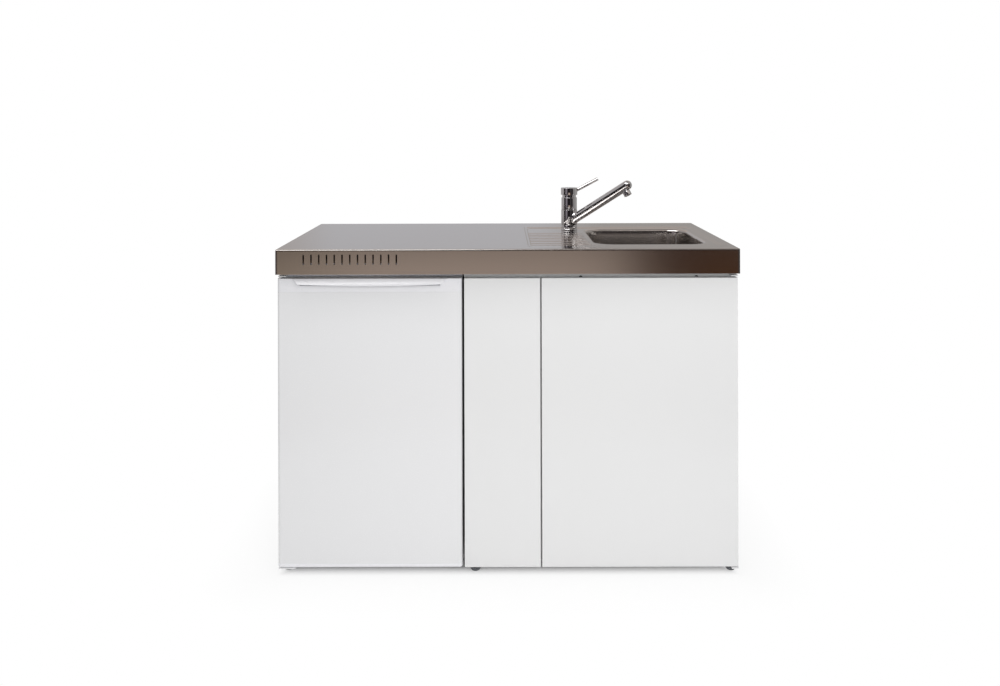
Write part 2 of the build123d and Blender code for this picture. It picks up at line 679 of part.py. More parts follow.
def tap_fixings():
    """Washer and nut under the deck, and two copper tails for hot and cold water, bent back to the wall."""
    under = DECK_Z - SKIN
    washer = post(TAP_X, TAP_Y, (under - 3, under), 24.0)
    nut_z = (under - 15, under - 3)
    nut = Pos(TAP_X, TAP_Y, nut_z[0]) * extrude(RegularPolygon(21.0, 6), amount=12)
    hole = post(TAP_X, TAP_Y, grow((nut_z[0], under), 1), TAP_SHANK)
    top = DECK_Z - TAP_SHANK_LENGTH
    low = top - TAIL_DROP
    tails = []
    for x in (TAP_X - TAIL_SPACING / 2, TAP_X + TAIL_SPACING / 2):
        path = (x, TAP_Y, top), (x, TAP_Y, low), (x, CARCASS_BACK - 20, low)
        tails.append(pipe(TAIL_RADIUS, TAIL_BORE, TAIL_BEND, *path))
    return group(washer - hole, nut - hole, *tails)


# Sink cabinet

PANEL_Z = (CABINET_BOTTOM + PANEL, CORE_BOTTOM)
INNER_X = (CAB_X[0] + PANEL, CAB_X[1] - PANEL)
PARTITION_X = (mid((NARROW_X[1], WIDE_X[0])) - PANEL / 2, mid((NARROW_X[1], WIDE_X[0])) + PANEL / 2)
CARCASS_SPAN = (CARCASS_Y, CARCASS_BACK)
RAIL_Z = (CORE_BOTTOM - RAIL_HEIGHT, CORE_BOTTOM)


def cabinet_sides():
    """Left and right side panels of folded sheet, the smooth face turned to the left bay and outwards."""
    left = tray(span(CAB_X[0], PANEL), CARCASS_SPAN, PANEL_Z, "-x")
    right = tray((CAB_X[1] - PANEL, CAB_X[1]), CARCASS_SPAN, PANEL_Z, "-x")
    return group(left, right)


def foot_places():
    """Centres of the four feet of the sink cabinet."""
    for x in (CAB_X[0] + 2 * FOOT_RADIUS, CAB_X[1] - FOOT_RADIUS):
        for y in (CARCASS_Y + 9, CARCASS_BACK - 30):
            yield x, y


def cabinet_floor():
    """Floor tray turned upside down, with a lip underneath for the feet."""
    z = (CABINET_BOTTOM, CABINET_BOTTOM + PANEL)
    lip_z = (CABINET_BOTTOM, CABINET_BOTTOM + SHEET)
    floor = tray(CAB_X, CARCASS_SPAN, z, "-z")
    lip = block(CAB_X, CARCASS_SPAN, lip_z)
    lip -= block(grow(CAB_X, -FLOOR_LIP), grow(CARCASS_SPAN, -FLOOR_LIP), grow(lip_z, 1))
    floor += lip
    for x, y in foot_places():
        floor -= post(x, y, grow(lip_z, 1), SCREW + FACE_GAP)
    return floor


BACK_Y = (CARCASS_BACK - PANEL, CARCASS_BACK)


def cabinet_back():
    """Back panel with a service opening behind the trap and the tails."""
    back = tray(INNER_X, BACK_Y, PANEL_Z, "-y")
    opening_x = (TAP_X - SERVICE_SIDE, BOWL_MID[0] + SERVICE_PAST_BOWL)
    return back - block(opening_x, grow(BACK_Y, 1), span(OUTLET_Z - SERVICE_HEIGHT / 2, SERVICE_HEIGHT))


def cabinet_rails():
    """Front and rear cross rails under the worktop."""
    front = tray(INNER_X, span(CARCASS_Y, PANEL), RAIL_Z, "+y")
    front += block(INNER_X, (CARCASS_Y - RAIL_LIP, CARCASS_Y + PANEL), (RAIL_Z[1] - SHEET, RAIL_Z[1]))
    rear = tray(INNER_X, (BACK_Y[0] - PANEL, BACK_Y[0]), RAIL_Z, "-y")
    return group(front, rear)


def partition():
    """Upright between the pull-out bay and the sink bay."""
    y = (CARCASS_Y, BACK_Y[0])
    wall = tray(PARTITION_X, y, (PANEL_Z[0], RAIL_Z[0]), "+x")
    return wall


SINK_BAY = (PARTITION_X[1], INNER_X[1])
SHELF_Z = (SHELF_HEIGHT - PANEL, SHELF_HEIGHT)


def shelf():
    """Loose shelf of folded sheet in the sink bay."""
    y = (CARCASS_Y + SHELF_SPACE + 10, BACK_Y[0] - SHELF_SPACE)
    return tray(grow(SINK_BAY, -1), y, SHELF_Z, "-z")


def shelf_pins():
    """Four pins that carry the shelf."""
    z = SHELF_Z[0] - SHELF_PIN
    spans = ((PARTITION_X[0] + SHEET, SINK_BAY[0] + 14), (SINK_BAY[1] - 14, CAB_X[1] - SHEET))
    depths = (CARCASS_Y + 60, BACK_Y[0] - 60)
    return group(*[rod_x(x, y, z, SHELF_PIN) for x in spans for y in depths])


# Wide door

DOOR_AXIS = (WIDE_X[1] - HINGE_EDGE, mid((FACE_Y, FRONT_BACK_Y)))
FRIDGE_AXIS = (FRIDGE_X[0] + FRIDGE_AXIS_EDGE, FACE_Y + HINGE_BUSH + 14.0)
GRIP_Y = span(FACE_Y + 4, GRIP_WIDTH)


def outer_pan(x):
    """Front of a door: folded sheet with four sides, open at the back."""
    pan = tray(x, (FACE_Y, FRONT_BACK_Y), FRONT_Z, "+y")
    outer = [e for e in pan.edges().filter_by(Axis.Z) if abs(e.center().Y - FACE_Y) < 0.01]
    return fillet(outer, 0.9)


def inner_pan(x):
    """Flat back of a door, inside the edges of the outer pan."""
    y = (FRONT_BACK_Y - SHEET, FRONT_BACK_Y)
    return block(grow(x, -SHEET), y, grow(FRONT_Z, -SHEET))


def grip_x(x, hinge_side):
    """Length of the grip channel along the top of a front."""
    return (x[0] + 20, x[1] - (40 if hinge_side else 20))


def grip_slot(x):
    """Opening in the top edge of a front for the fingers."""
    return block(x, GRIP_Y, (FRONT_TOP - 2 * SHEET, FRONT_TOP + 1))


def grip_channel(x):
    """Trough of folded sheet under the opening in the top edge."""
    z = (FRONT_TOP - SHEET - GRIP_DEPTH, FRONT_TOP - SHEET)
    return tray(grow(x, SHEET), grow(GRIP_Y, SHEET), z, "+z")


def bush_holes(pan, radius):
    """Cut the top and bottom edges of the wide door for its bushes."""
    for z in FRONT_Z:
        pan -= post(*DOOR_AXIS, grow((z, z), 2 * SHEET), radius)
    return pan


def door_outer_pan():
    """Outer pan of the wide door."""
    pan = outer_pan(WIDE_X) - grip_slot(grip_x(WIDE_X, True))
    return bush_holes(pan, HINGE_BUSH)


def door_inner_pan():
    """Inner pan of the wide door with its grip channel."""
    channel = grip_channel(grip_x(WIDE_X, True))
    arm = block(
        grip_x(WIDE_X, True), (GRIP_Y[1], FRONT_BACK_Y), span(FRONT_TOP - 2 * SHEET - GRIP_DEPTH / 2, SHEET)
    )
    return inner_pan(WIDE_X) + channel + arm


def door_bushes():
    """Nylon bushes at the top and bottom of the wide door."""
    solids = []
    for z in (span(FRONT_TOP - BUSH_LENGTH, BUSH_LENGTH), span(FRONT_BOTTOM, BUSH_LENGTH)):
        bush = post(*DOOR_AXIS, z, HINGE_BUSH) - post(*DOOR_AXIS, grow(z, 1), HINGE_PIN + RUNNING)
        solids.append(bush)
    return group(*solids)


BRACKET_TOP = span(FRONT_TOP + BRACKET_GAP, BRACKET)
BRACKET_LOW = (FRONT_BOTTOM - 2 * BRACKET, FRONT_BOTTOM - BRACKET)
BRACKET_X = (CAB_X[1] - BRACKET_WIDTH, CAB_X[1])
FRIDGE_FACE_Y = FACE_Y + FRIDGE_DOOR_THICK + DOOR_LINER_THICK + GASKET_THICK
FRIDGE_BRACKET_X = (FRIDGE_X[0] + 2, FRIDGE_AXIS[0] + 9)
FRIDGE_FOOT = (FRIDGE_X[0] + FRIDGE_FOOT_RADIUS, FRIDGE_FACE_Y + 1.5)


def hinge_brackets():
    """Steel brackets that hold the hinge pins of the wide door and of the refrigerator door."""
    front = DOOR_AXIS[1] - 10
    top = block(BRACKET_X, (front, CARCASS_Y), BRACKET_TOP)
    leg_y = span(CARCASS_Y + SHEET, 2.0)
    low = block(BRACKET_X, (front, leg_y[1]), BRACKET_LOW)
    low += block(BRACKET_X, leg_y, (BRACKET_LOW[0], CABINET_BOTTOM))
    cold_front = FRIDGE_AXIS[1] - 15
    cold_top = block(FRIDGE_BRACKET_X, (cold_front, FRIDGE_FACE_Y), BRACKET_TOP)
    cold_top += block(
        (FRIDGE_BRACKET_X[0], FRIDGE_BRACKET_X[1] + 20),
        (FRIDGE_FACE_Y - BRACKET, FRIDGE_FACE_Y), (BRACKET_TOP[0], FRIDGE_TOP - 4),
    )
    cold_low_x = (FRIDGE_X[0] + 1, FRIDGE_X[0] + 44)
    cold_low = block(cold_low_x, (cold_front, FRIDGE_FACE_Y + 40), BRACKET_LOW)
    cold_low += block(cold_low_x, (FRIDGE_FACE_Y, FRIDGE_FACE_Y + 40), (BRACKET_LOW[1], FRIDGE_BOTTOM))
    cold_low -= post(*FRIDGE_FOOT, (0, FRIDGE_BOTTOM), SCREW)
    pins = group(*[post(*axis, (0, HEIGHT), HINGE_PIN) for axis in (DOOR_AXIS, FRIDGE_AXIS)])
    return group(top - pins, low - pins, cold_top - pins, cold_low - pins)


def hinge_pins():
    """Four pins, top and bottom, of the two doors."""
    solids = []
    for axis in (DOOR_AXIS, FRIDGE_AXIS):
        solids.append(post(*axis, (FRONT_TOP - BUSH_LENGTH + 2, BRACKET_TOP[1]), HINGE_PIN))
        solids.append(post(*axis, (BRACKET_LOW[0], FRONT_BOTTOM + BOTTOM_CAP - 2), HINGE_PIN))
    return group(*solids)


CATCH_X = span(WIDE_X[0] + 24, 40)
STRIKE = 1.5


def magnet_catch():
    """Magnetic catch under the front rail, by the free edge of the wide door."""
    y = (FRONT_BACK_Y + STRIKE + FACE_GAP, CARCASS_Y + PANEL)
    case = block(CATCH_X, y, (RAIL_Z[0] - 16, RAIL_Z[0]))
    pole = block(grow(CATCH_X, -8), (y[0] - 1, y[0] + 2), (RAIL_Z[0] - 11, RAIL_Z[0] - 5))
    return case - pole


def strike_plate():
    """Steel plate on the wide door that the catch pulls at."""
    return block(CATCH_X, (FRONT_BACK_Y, FRONT_BACK_Y + STRIKE), (RAIL_Z[0] - 15, RAIL_Z[0] - 1))


# Pull-out behind the narrow front

SLIDE_Y = span(CARCASS_Y + 6, SLIDE_LENGTH)
SLIDE_Z = span(SLIDE_BOTTOM, SLIDE_HEIGHT)
BAY_X = (INNER_X[0], PARTITION_X[0])


def rail(x, z, side):
    """C-shaped rail with its web on the outer side: side is -1 at the left, 1 at the right."""
    opening = "+x" if side < 0 else "-x"
    return tray(x, SLIDE_Y, z, opening + "+y-y", SLIDE_SHEET)


def slide_member(step):
    """Both rails of one step of the telescopic slides: 0 outer, 1 middle, 2 inner."""
    inset = step * (SLIDE_SHEET + FACE_GAP)
    near = SLIDE_THICK - SLIDE_SHEET
    z = grow(SLIDE_Z, -inset)
    left = (BAY_X[0] + inset, BAY_X[0] + near)
    right = (BAY_X[1] - near, BAY_X[1] - inset)
    return group(rail(left, z, -1), rail(right, z, 1))


def slide_outer_rails():
    """Rails fixed to the walls of the bay."""
    return slide_member(0)


def slide_middle_rails():
    """Rails that run half the way with the pull-out."""
    return slide_member(1)


INNER_RAIL_X = (BAY_X[0] + 2 * (SLIDE_SHEET + FACE_GAP), BAY_X[0] + SLIDE_THICK)


def slide_inner_rails():
    """Rails fixed to the frame of the pull-out, open towards the walls."""
    z = grow(SLIDE_Z, -2 * (SLIDE_SHEET + FACE_GAP))
    mirror_x = (BAY_X[0] + BAY_X[1] - INNER_RAIL_X[1], BAY_X[0] + BAY_X[1] - INNER_RAIL_X[0])
    return group(rail(INNER_RAIL_X, z, 1), rail(mirror_x, z, -1))


FRAME_X = (INNER_RAIL_X[1], BAY_X[0] + BAY_X[1] - INNER_RAIL_X[1])
FRAME_Y = (FRONT_BACK_Y, SLIDE_Y[1])
FRAME_Z = (FRAME_BOTTOM, FRAME_TOP)


def pullout_frame():
    """Two rings of flat steel behind the narrow front that carry the trays."""
    rings = []
    for x in ((FRAME_X[0], FRAME_X[0] + FRAME_SHEET), (FRAME_X[1] - FRAME_SHEET, FRAME_X[1])):
        ring = block(x, FRAME_Y, FRAME_Z)
        ring -= block(grow(x, 1), grow(FRAME_Y, -FRAME_BAR), (SLIDE_Z[1] + 4, FRAME_Z[1] - FRAME_BAR))
        rings.append(ring)
    return group(*rings)


def pullout_trays():
    """Lower and upper tray between the rings of the frame."""
    x = grow(FRAME_X, -FRAME_SHEET)
    y = (FRAME_Y[0] + 4, FRAME_Y[1])
    lower = tray(x, y, span(FRAME_BOTTOM, TRAY_HEIGHT), "+z", TRAY_WALL)
    upper = tray(x, y, span(UPPER_TRAY, TRAY_HEIGHT), "+z", TRAY_WALL)
    return group(lower, upper)


def pullout_outer_pan():
    """Outer pan of the narrow front."""
    return outer_pan(NARROW_X) - grip_slot(grip_x(NARROW_X, False))


def pullout_inner_pan():
    """Inner pan of the narrow front with its grip channel."""
    x = grip_x(NARROW_X, False)
    arm = block(x, (GRIP_Y[1], FRONT_BACK_Y), span(FRONT_TOP - 2 * SHEET - GRIP_DEPTH / 2, SHEET))
    return inner_pan(NARROW_X) + grip_channel(x) + arm


# Feet

def foot(x, y, height, radius, base):
    """Dished plastic foot, narrow where it meets the floor."""
    rise = 0.65 * height
    half = Line((0, 0), (base, 0))
    half += ThreePointArc((base, 0), (0.45 * base + 0.55 * radius + 1.2, 0.42 * rise), (radius, rise))
    half += Polyline((radius, rise), (radius, 0.85 * height), (SCREW + 2, height), (0, height), (0, 0))
    profile = make_face(Plane.XZ * half)
    return Pos(x, y, 0) * revolve(profile, Axis.Z)


def cabinet_feet():
    """Four levelling feet of the sink cabinet."""
    return group(*[foot(x, y, FOOT_HEIGHT, FOOT_RADIUS, FOOT_BASE) for x, y in foot_places()])


def fridge_foot_places():
    """Centres of the four feet of the refrigerator; the left front one is in the hinge bracket."""
    right = FRIDGE_X[1] - FRIDGE_FOOT_RADIUS
    yield FRIDGE_FOOT
    yield right, FRIDGE_FACE_Y + 24
    yield FRIDGE_FOOT[0], CARCASS_BACK - 30
    yield right, CARCASS_BACK - 30


def fridge_feet():
    """Four levelling feet of the refrigerator."""
    size = (FRIDGE_FOOT_HEIGHT, FRIDGE_FOOT_RADIUS, FRIDGE_FOOT_BASE)
    return group(*[foot(x, y, *size) for x, y in fridge_foot_places()])


def foot_screws():
    """Threaded rods of all feet, with a nut on each rod of the sink cabinet."""
    solids = []
    nut_z = CABINET_BOTTOM + SHEET
    for x, y in foot_places():
        rod = post(x, y, (FOOT_HEIGHT, CABINET_BOTTOM + PANEL - 2), SCREW)
        nut = Pos(x, y, nut_z) * extrude(RegularPolygon(8.5, 6), amount=6)
        solids.append(rod + nut)
    for x, y in fridge_foot_places():
        solids.append(post(x, y, (FRIDGE_FOOT_HEIGHT, FRIDGE_BOTTOM), SCREW))
    return group(*solids)


# Refrigerator body

BODY_Z = (FRIDGE_BOTTOM, FRIDGE_TOP)
CAVITY_X = grow(FRIDGE_X, -WALL)
CAVITY_Y = span(FRIDGE_FACE_Y, CAVITY_DEPTH)
CAVITY_Z = grow(BODY_Z, -WALL)
HUMP_Y = CAVITY_Y[1] - HUMP_DEPTH
SHELL_IN_X = grow(FRIDGE_X, -SHEET)
SHELL_IN_Z = grow(BODY_Z, -SHEET)
MACHINE_Y = CARCASS_BACK - MACHINE_DEPTH
PLATE_Z = span(FRIDGE_BOTTOM, 3.0)


def fridge_shell():
    """Steel sleeve round the cold space, open at the front and the back."""
    y = (FRIDGE_FACE_Y, CARCASS_BACK)
    shell = tray(FRIDGE_X, y, BODY_Z, "+y-y")
    return shell - block(SHELL_IN_X, (MACHINE_Y - 12, CARCASS_BACK + 1), grow((FRIDGE_BOTTOM, FRIDGE_BOTTOM), 5))


def rib_levels():
    """Height and back end of each pair of ribs that carry a glass shelf."""
    yield HUMP_TOP - GLASS + 1, HUMP_Y - 5
    yield LOWER_GLASS, CAVITY_Y[1] - 15
    yield UPPER_GLASS, CAVITY_Y[1] - 15


def fridge_liner():
    """Plastic liner with a step over the machine space and ribs for the shelves."""
    behind = (HUMP_Y, CAVITY_Y[1] + 1)
    room = block(CAVITY_X, (CAVITY_Y[0] - 1, CAVITY_Y[1]), CAVITY_Z)
    room -= block(grow(CAVITY_X, 1), behind, (CAVITY_Z[0] - 1, HUMP_TOP))
    wall = block(grow(CAVITY_X, LINER), (CAVITY_Y[0], CAVITY_Y[1] + LINER), grow(CAVITY_Z, LINER))
    wall -= block(
        grow(CAVITY_X, 2 * LINER), (HUMP_Y + LINER, CAVITY_Y[1] + 2 * LINER), (CAVITY_Z[0] - 2 * LINER, HUMP_TOP - LINER)
    )
    flange = block(SHELL_IN_X, span(CAVITY_Y[0], LINER), SHELL_IN_Z)
    liner = wall + flange - room
    for z, end in rib_levels():
        y = (CAVITY_Y[0] + GLASS_FRONT, end)
        liner += block(span(CAVITY_X[0] - LINER / 2, RIB + LINER / 2), y, (z - RIB, z))
        liner += block((CAVITY_X[1] - RIB, CAVITY_X[1] + LINER / 2), y, (z - RIB, z))
    return liner


def fridge_rear_panels():
    """Folded back sheet with the roof and front of the machine space, and the compressor plate."""
    back_y = (CARCASS_BACK - SHEET, CARCASS_BACK)
    sheet = block(SHELL_IN_X, back_y, (MACHINE_TOP, SHELL_IN_Z[1]))
    sheet += block(SHELL_IN_X, (MACHINE_Y, CARCASS_BACK), (MACHINE_TOP, MACHINE_TOP + SHEET))
    sheet += block(SHELL_IN_X, (MACHINE_Y, MACHINE_Y + SHEET), (PLATE_Z[1], MACHINE_TOP + SHEET))
    plate = block(SHELL_IN_X, (MACHINE_Y - 12, CARCASS_BACK), PLATE_Z)
    return group(sheet, plate)


COMPRESSOR = (mid(FRIDGE_X) + 58.5, CARCASS_BACK - 70)
COMPRESSOR_RADIUS = 60.0
COMPRESSOR_Z = (37.0, 187.0)
COMPRESSOR_BASE = (168.0, 90.0)
MOUNT_PLACE = (72.0, 34.0)
MOUNT_RADIUS = 9.0
TERMINAL_X = (40.0, 96.0)  # terminal box, from the middle of the compressor
TERMINAL_Y = (-24.0, 24.0)
TERMINAL_Z = (80.0, 140.0)
INLET_X = 80.0
INLET_Z = 96.0
INLET_LENGTH = 14.0


def compressor():
    """Sealed compressor on its base, with four rubber mounts and a terminal box with its inlet."""
    x, y = COMPRESSOR
    pot = post(x, y, COMPRESSOR_Z, COMPRESSOR_RADIUS)
    pot = fillet(pot.edges().sort_by(Axis.Z)[-1], 42)
    pot = fillet(pot.edges().sort_by(Axis.Z)[0], 18)
    half = [size / 2 for size in COMPRESSOR_BASE]
    base = block((x - half[0], x + half[0]), (y - half[1], y + half[1]), span(COMPRESSOR_Z[0], 4))
    mounts = [
        post(x + sx * MOUNT_PLACE[0], y + sy * MOUNT_PLACE[1], (PLATE_Z[1], COMPRESSOR_Z[0]), MOUNT_RADIUS)
        for sx in (-1, 1) for sy in (-1, 1)
    ]
    box_x = [x + edge for edge in TERMINAL_X]
    box_y = [y + edge for edge in TERMINAL_Y]
    box = block(box_x, box_y, TERMINAL_Z) - post(x, y, grow(TERMINAL_Z, 10), COMPRESSOR_RADIUS)
    inlet = rod_y(x + INLET_X, span(box_y[1], INLET_LENGTH), INLET_Z, 7)
    inlet -= rod_y(x + INLET_X, span(box_y[1], INLET_LENGTH + 1), INLET_Z, 4)
    return group(pot + base, box + inlet, *mounts)


CONDENSER_Y = CARCASS_BACK + 13.0
CONDENSER_RUNS = 11
CONDENSER_PITCH = 40.0
TUBE = 2.5
WIRE = 0.9
DISCHARGE = 30.0  # pressure tube beside the middle of the compressor
DISCHARGE_Z = 120.0
COIL_RISE = 68.0
COIL_INSET = 34.0
WIRE_COUNT = 15


def condenser():
    """Serpentine tube with upright wires behind the back sheet, fed from the compressor."""
    left, right = grow(FRIDGE_X, -COIL_INSET)
    x, y = COMPRESSOR
    rise_x = x - DISCHARGE
    start_y = y + math.sqrt(COMPRESSOR_RADIUS**2 - (DISCHARGE - TUBE) ** 2) + 0.1
    z = MACHINE_TOP + COIL_RISE
    points = [(rise_x, start_y, DISCHARGE_Z), (rise_x, CONDENSER_Y, DISCHARGE_Z), (rise_x, CONDENSER_Y, z)]
    for i in range(CONDENSER_RUNS):
        ends = (left, right) if i % 2 else (right, left)
        height = z + i * CONDENSER_PITCH
        if i:
            points.append((ends[0], CONDENSER_Y, height))
        points.append((ends[1], CONDENSER_Y, height))
    last = points[-1]
    points[-1] = (last[0] + 60, CONDENSER_Y, last[2])
    points.append((last[0] + 60, CARCASS_BACK, last[2]))
    coil = pipe(TUBE, 0, 12.0, *points)
    top = z + (CONDENSER_RUNS - 1) * CONDENSER_PITCH
    pitch = (right - left - 44) / (WIRE_COUNT - 1)
    wires = [
        post(left + 22 + i * pitch, CONDENSER_Y + TUBE + WIRE, (z - 12, top + 12), WIRE) for i in range(WIRE_COUNT)
    ]
    clips = [
        block((cx - 6, cx + 6), (CARCASS_BACK, CONDENSER_Y - TUBE), span(cz - 3, 6))
        for cx in (left + 30, right - 30) for cz in (z + CONDENSER_PITCH, top - CONDENSER_PITCH)
    ]
    return group(coil, *wires, *clips)


FREEZER_Y = (CAVITY_Y[1] - FREEZER_DEPTH, CAVITY_Y[1])
FREEZER_Z = (FREEZER_BOTTOM, CAVITY_Z[1])
FLAP_AXIS = (FREEZER_Y[0] + 1 + FLAP_THICK / 2, FREEZER_BOTTOM + FREEZER_WALL + 6)
FLAP_X = grow(CAVITY_X, -FREEZER_WALL - 2 * FACE_GAP)


def freezer_box():
    """Ice compartment under the ceiling of the cold space."""
    box = tray(CAVITY_X, FREEZER_Y, FREEZER_Z, "-y", FREEZER_WALL)
    return box - rod_x(grow(CAVITY_X, 1), *FLAP_AXIS, FLAP_PIN + RUNNING)


def freezer_flap():
    """Flap of the ice compartment, hinged at its lower edge."""
    y = (FLAP_AXIS[0] - FLAP_THICK / 2, FLAP_AXIS[0] + FLAP_THICK / 2)
    z = (FLAP_AXIS[1] - 4, FREEZER_Z[1] - FREEZER_WALL - 3)
    plate = block(FLAP_X, y, z)
    lip = block((mid(FLAP_X) - 50, mid(FLAP_X) + 50), (y[0] - 9, y[0]), (z[1] - 5, z[1]))
    pins = [
        rod_x((CAVITY_X[0] + 0.5, FLAP_X[0] + 1), *FLAP_AXIS, FLAP_PIN),
        rod_x((FLAP_X[1] - 1, CAVITY_X[1] - 0.5), *FLAP_AXIS, FLAP_PIN),
    ]
    return plate + lip + pins


def glass_shelves():
    """Two glass shelves and the glass over the crisper."""
    x = grow(CAVITY_X, -GLASS_INSET)
    front = CAVITY_Y[0] + GLASS_FRONT
    ends = [(level, end) for level, end in rib_levels()]
    return group(*[block(x, (front, end), span(level, GLASS)) for level, end in ends])


DRAWER_X = grow(CAVITY_X, -RIB - 2)
DRAWER_Y = (CAVITY_Y[0] + GLASS_FRONT - 5, HUMP_Y - 8)
DRAWER_Z = span(CAVITY_Z[0] + FACE_GAP, DRAWER_HEIGHT)


def crisper_drawer():
    """Vegetable drawer on the floor of the cold space, with a handle rail at the front."""
    bin_ = tray(DRAWER_X, DRAWER_Y, DRAWER_Z, "+z", DRAWER_WALL)
    rail_z = (DRAWER_Z[1] - 12, DRAWER_Z[1] - 8)
    return bin_ + block(grow(DRAWER_X, -120), (DRAWER_Y[0] - 7, DRAWER_Y[0]), rail_z)


HOUSING_X = (CAVITY_X[1] - 30, CAVITY_X[1])
HOUSING_Y = span(CAVITY_Y[0] + 127, 120)
HOUSING_Z = (UPPER_GLASS + 25, UPPER_GLASS + 85)
KNOB_AXIS = (HOUSING_Y[0] + 45, mid(HOUSING_Z))


def thermostat_housing():
    """Housing of the thermostat on the right wall, with a bore for the knob's stem."""
    case = block(HOUSING_X, HOUSING_Y, HOUSING_Z)
    case = fillet(case.faces().sort_by(Axis.X)[0].edges(), 6)
    return case - rod_x((HOUSING_X[0] - 1, HOUSING_X[0] + 12), *KNOB_AXIS, 3 + RUNNING)


def thermostat_knob():
    """Ribbed thermostat knob on its stem."""
    x = (HOUSING_X[0] - FACE_GAP - KNOB_LENGTH, HOUSING_X[0] - FACE_GAP)
    knob = rod_x(x, *KNOB_AXIS, KNOB_RADIUS)
    knob = chamfer(knob.edges().sort_by(Axis.X)[0], 1.5)
    grip = block((x[0] - 6, x[0]), grow((KNOB_AXIS[0], KNOB_AXIS[0]), 3), grow((KNOB_AXIS[1], KNOB_AXIS[1]), 14))
    return knob + grip + rod_x((x[1], HOUSING_X[0] + 10), *KNOB_AXIS, 3.0)


# Refrigerator door

DOOR_Y = (FACE_Y, FACE_Y + FRIDGE_DOOR_THICK)
CAP_SPLIT = FRONT_TOP - CAP_LINE
FOOT_SPLIT = FRONT_BOTTOM + BOTTOM_CAP
GRIP_X = (FRIDGE_X[0] + GRIP_INSET_LEFT, FRIDGE_X[1] - GRIP_INSET_RIGHT)


def door_section(z, wall=0.0):
    """Length of the door's outer section, with rounded upright edges at the front."""
    body = block(grow(FRIDGE_X, -wall), (DOOR_Y[0] + wall, DOOR_Y[1]), z)
    edges = [e for e in body.edges().filter_by(Axis.Z) if abs(e.center().Y - DOOR_Y[0] - wall) < 0.01]
    return fillet(edges, DOOR_CORNER - wall)


def fridge_door_skin():
    """Painted steel front of the door, wrapped round both sides."""
    z = (FOOT_SPLIT, CAP_SPLIT)
    return door_section(z) - (
        door_section(grow(z, 1), SHEET) + block(grow(FRIDGE_X, -SHEET), (mid(DOOR_Y), DOOR_Y[1] + 1), grow(z, 1))
    )


def grip_outline(wall):
    """Outline of the grip from the front, or with a wall the outline of its hollow, which is open below."""
    x0, x1 = grow(GRIP_X, -wall)
    low = FRONT_TOP - GRIP_END_DROP - wall
    middle = FRONT_TOP - GRIP_MID_DROP - wall
    points = ((x0, FRONT_TOP), (x0 + GRIP_SLANT, low), (mid(GRIP_X), middle), (x1 - GRIP_SLANT, low), (x1, FRONT_TOP))
    lower = ThreePointArc(points[1], points[2], points[3])
    outline = Polyline(points[3], points[4], points[0], points[1]) + lower
    return make_face(Plane.XZ * outline)


def grip_wedge(wall):
    """Wedge that grows forwards from the top edge of the cap to the grip's lower edge."""
    proud = GRIP_PROUD - wall
    prism = Pos(0, FACE_Y, 0) * extrude(grip_outline(wall), amount=proud + 1)
    slope = make_face(
        Plane.YZ * Polyline(
            (FACE_Y - 1, FRONT_TOP), (FACE_Y - proud, FRONT_TOP - GRIP_END_DROP),
            (FACE_Y - proud, FRONT_TOP - 40), (FACE_Y + 1, FRONT_TOP - 40), (FACE_Y + 1, FRONT_TOP), close=True,
        )
    )
    return prism & Pos(GRIP_X[0] - 10, 0, 0) * extrude(slope, amount=GRIP_X[1] - GRIP_X[0] + 20)


def fridge_door_top_cap():
    """Plastic cap on the door with the grip moulded into it and the upper hinge bore."""
    z = (CAP_SPLIT, FRONT_TOP)
    cap = door_section(z)
    inside = block(
        (FRIDGE_X[0] + 30, FRIDGE_X[1] - 12), (DOOR_Y[0] + 16, DOOR_Y[1] - 3), (CAP_SPLIT - 1, FRONT_TOP - 3)
    )
    cap -= inside
    cap += grip_wedge(0)
    roof = FRONT_TOP - GRIP_ROOF
    cap -= grip_wedge(GRIP_WALL) & block(GRIP_X, (FACE_Y - GRIP_PROUD, FACE_Y), (CAP_SPLIT, roof))
    cap -= block(grow(GRIP_X, -GRIP_SLANT - GRIP_WALL), span(FACE_Y - 1, GRIP_POCKET + 1), (roof - GRIP_POCKET, roof))
    return cap - post(*FRIDGE_AXIS, (FRONT_TOP - BUSH_LENGTH, FRONT_TOP + 1), HINGE_PIN + RUNNING)


def fridge_door_bottom_cap():
    """Plastic strip under the door with rounded corners and the lower hinge bore."""
    z = (FRONT_BOTTOM, FOOT_SPLIT)
    cap = door_section(z)
    corners = [
        e for e in cap.edges().filter_by(Axis.Y)
        if abs(e.center().Z - FRONT_BOTTOM) < 0.01 and abs(abs(e.center().X - mid(FRIDGE_X)) - FRIDGE_WIDTH / 2) < 0.01
    ]
    cap = fillet(corners, 3.5)
    return cap - post(*FRIDGE_AXIS, (FRONT_BOTTOM - 1, FOOT_SPLIT - 1.5), HINGE_PIN + RUNNING)


LINER_Y = span(DOOR_Y[1], DOOR_LINER_THICK)
RACK_X = grow(CAVITY_X, -20)
RACK_Y = (LINER_Y[1], LINER_Y[1] + RACK_DEPTH)
RACK_LEVELS = (90.0, 320.0, 540.0)


def fridge_door_liner():
    """Plastic back of the door with two upright ribs that hold the racks."""
    panel = block(grow(FRIDGE_X, -1), LINER_Y, grow(FRONT_Z, -1))
    z = (RACK_LEVELS[0] - 12, CAVITY_Z[1] - 24)
    for x in (span(RACK_X[0] - 8, 8), span(RACK_X[1], 8)):
        panel += block(x, grow(RACK_Y, 0.5), z)
    return panel


def door_racks():
    """Three racks for bottles and jars."""
    return group(*[tray(RACK_X, RACK_Y, span(z, RACK_HEIGHT), "+z", RACK_WALL) for z in RACK_LEVELS])


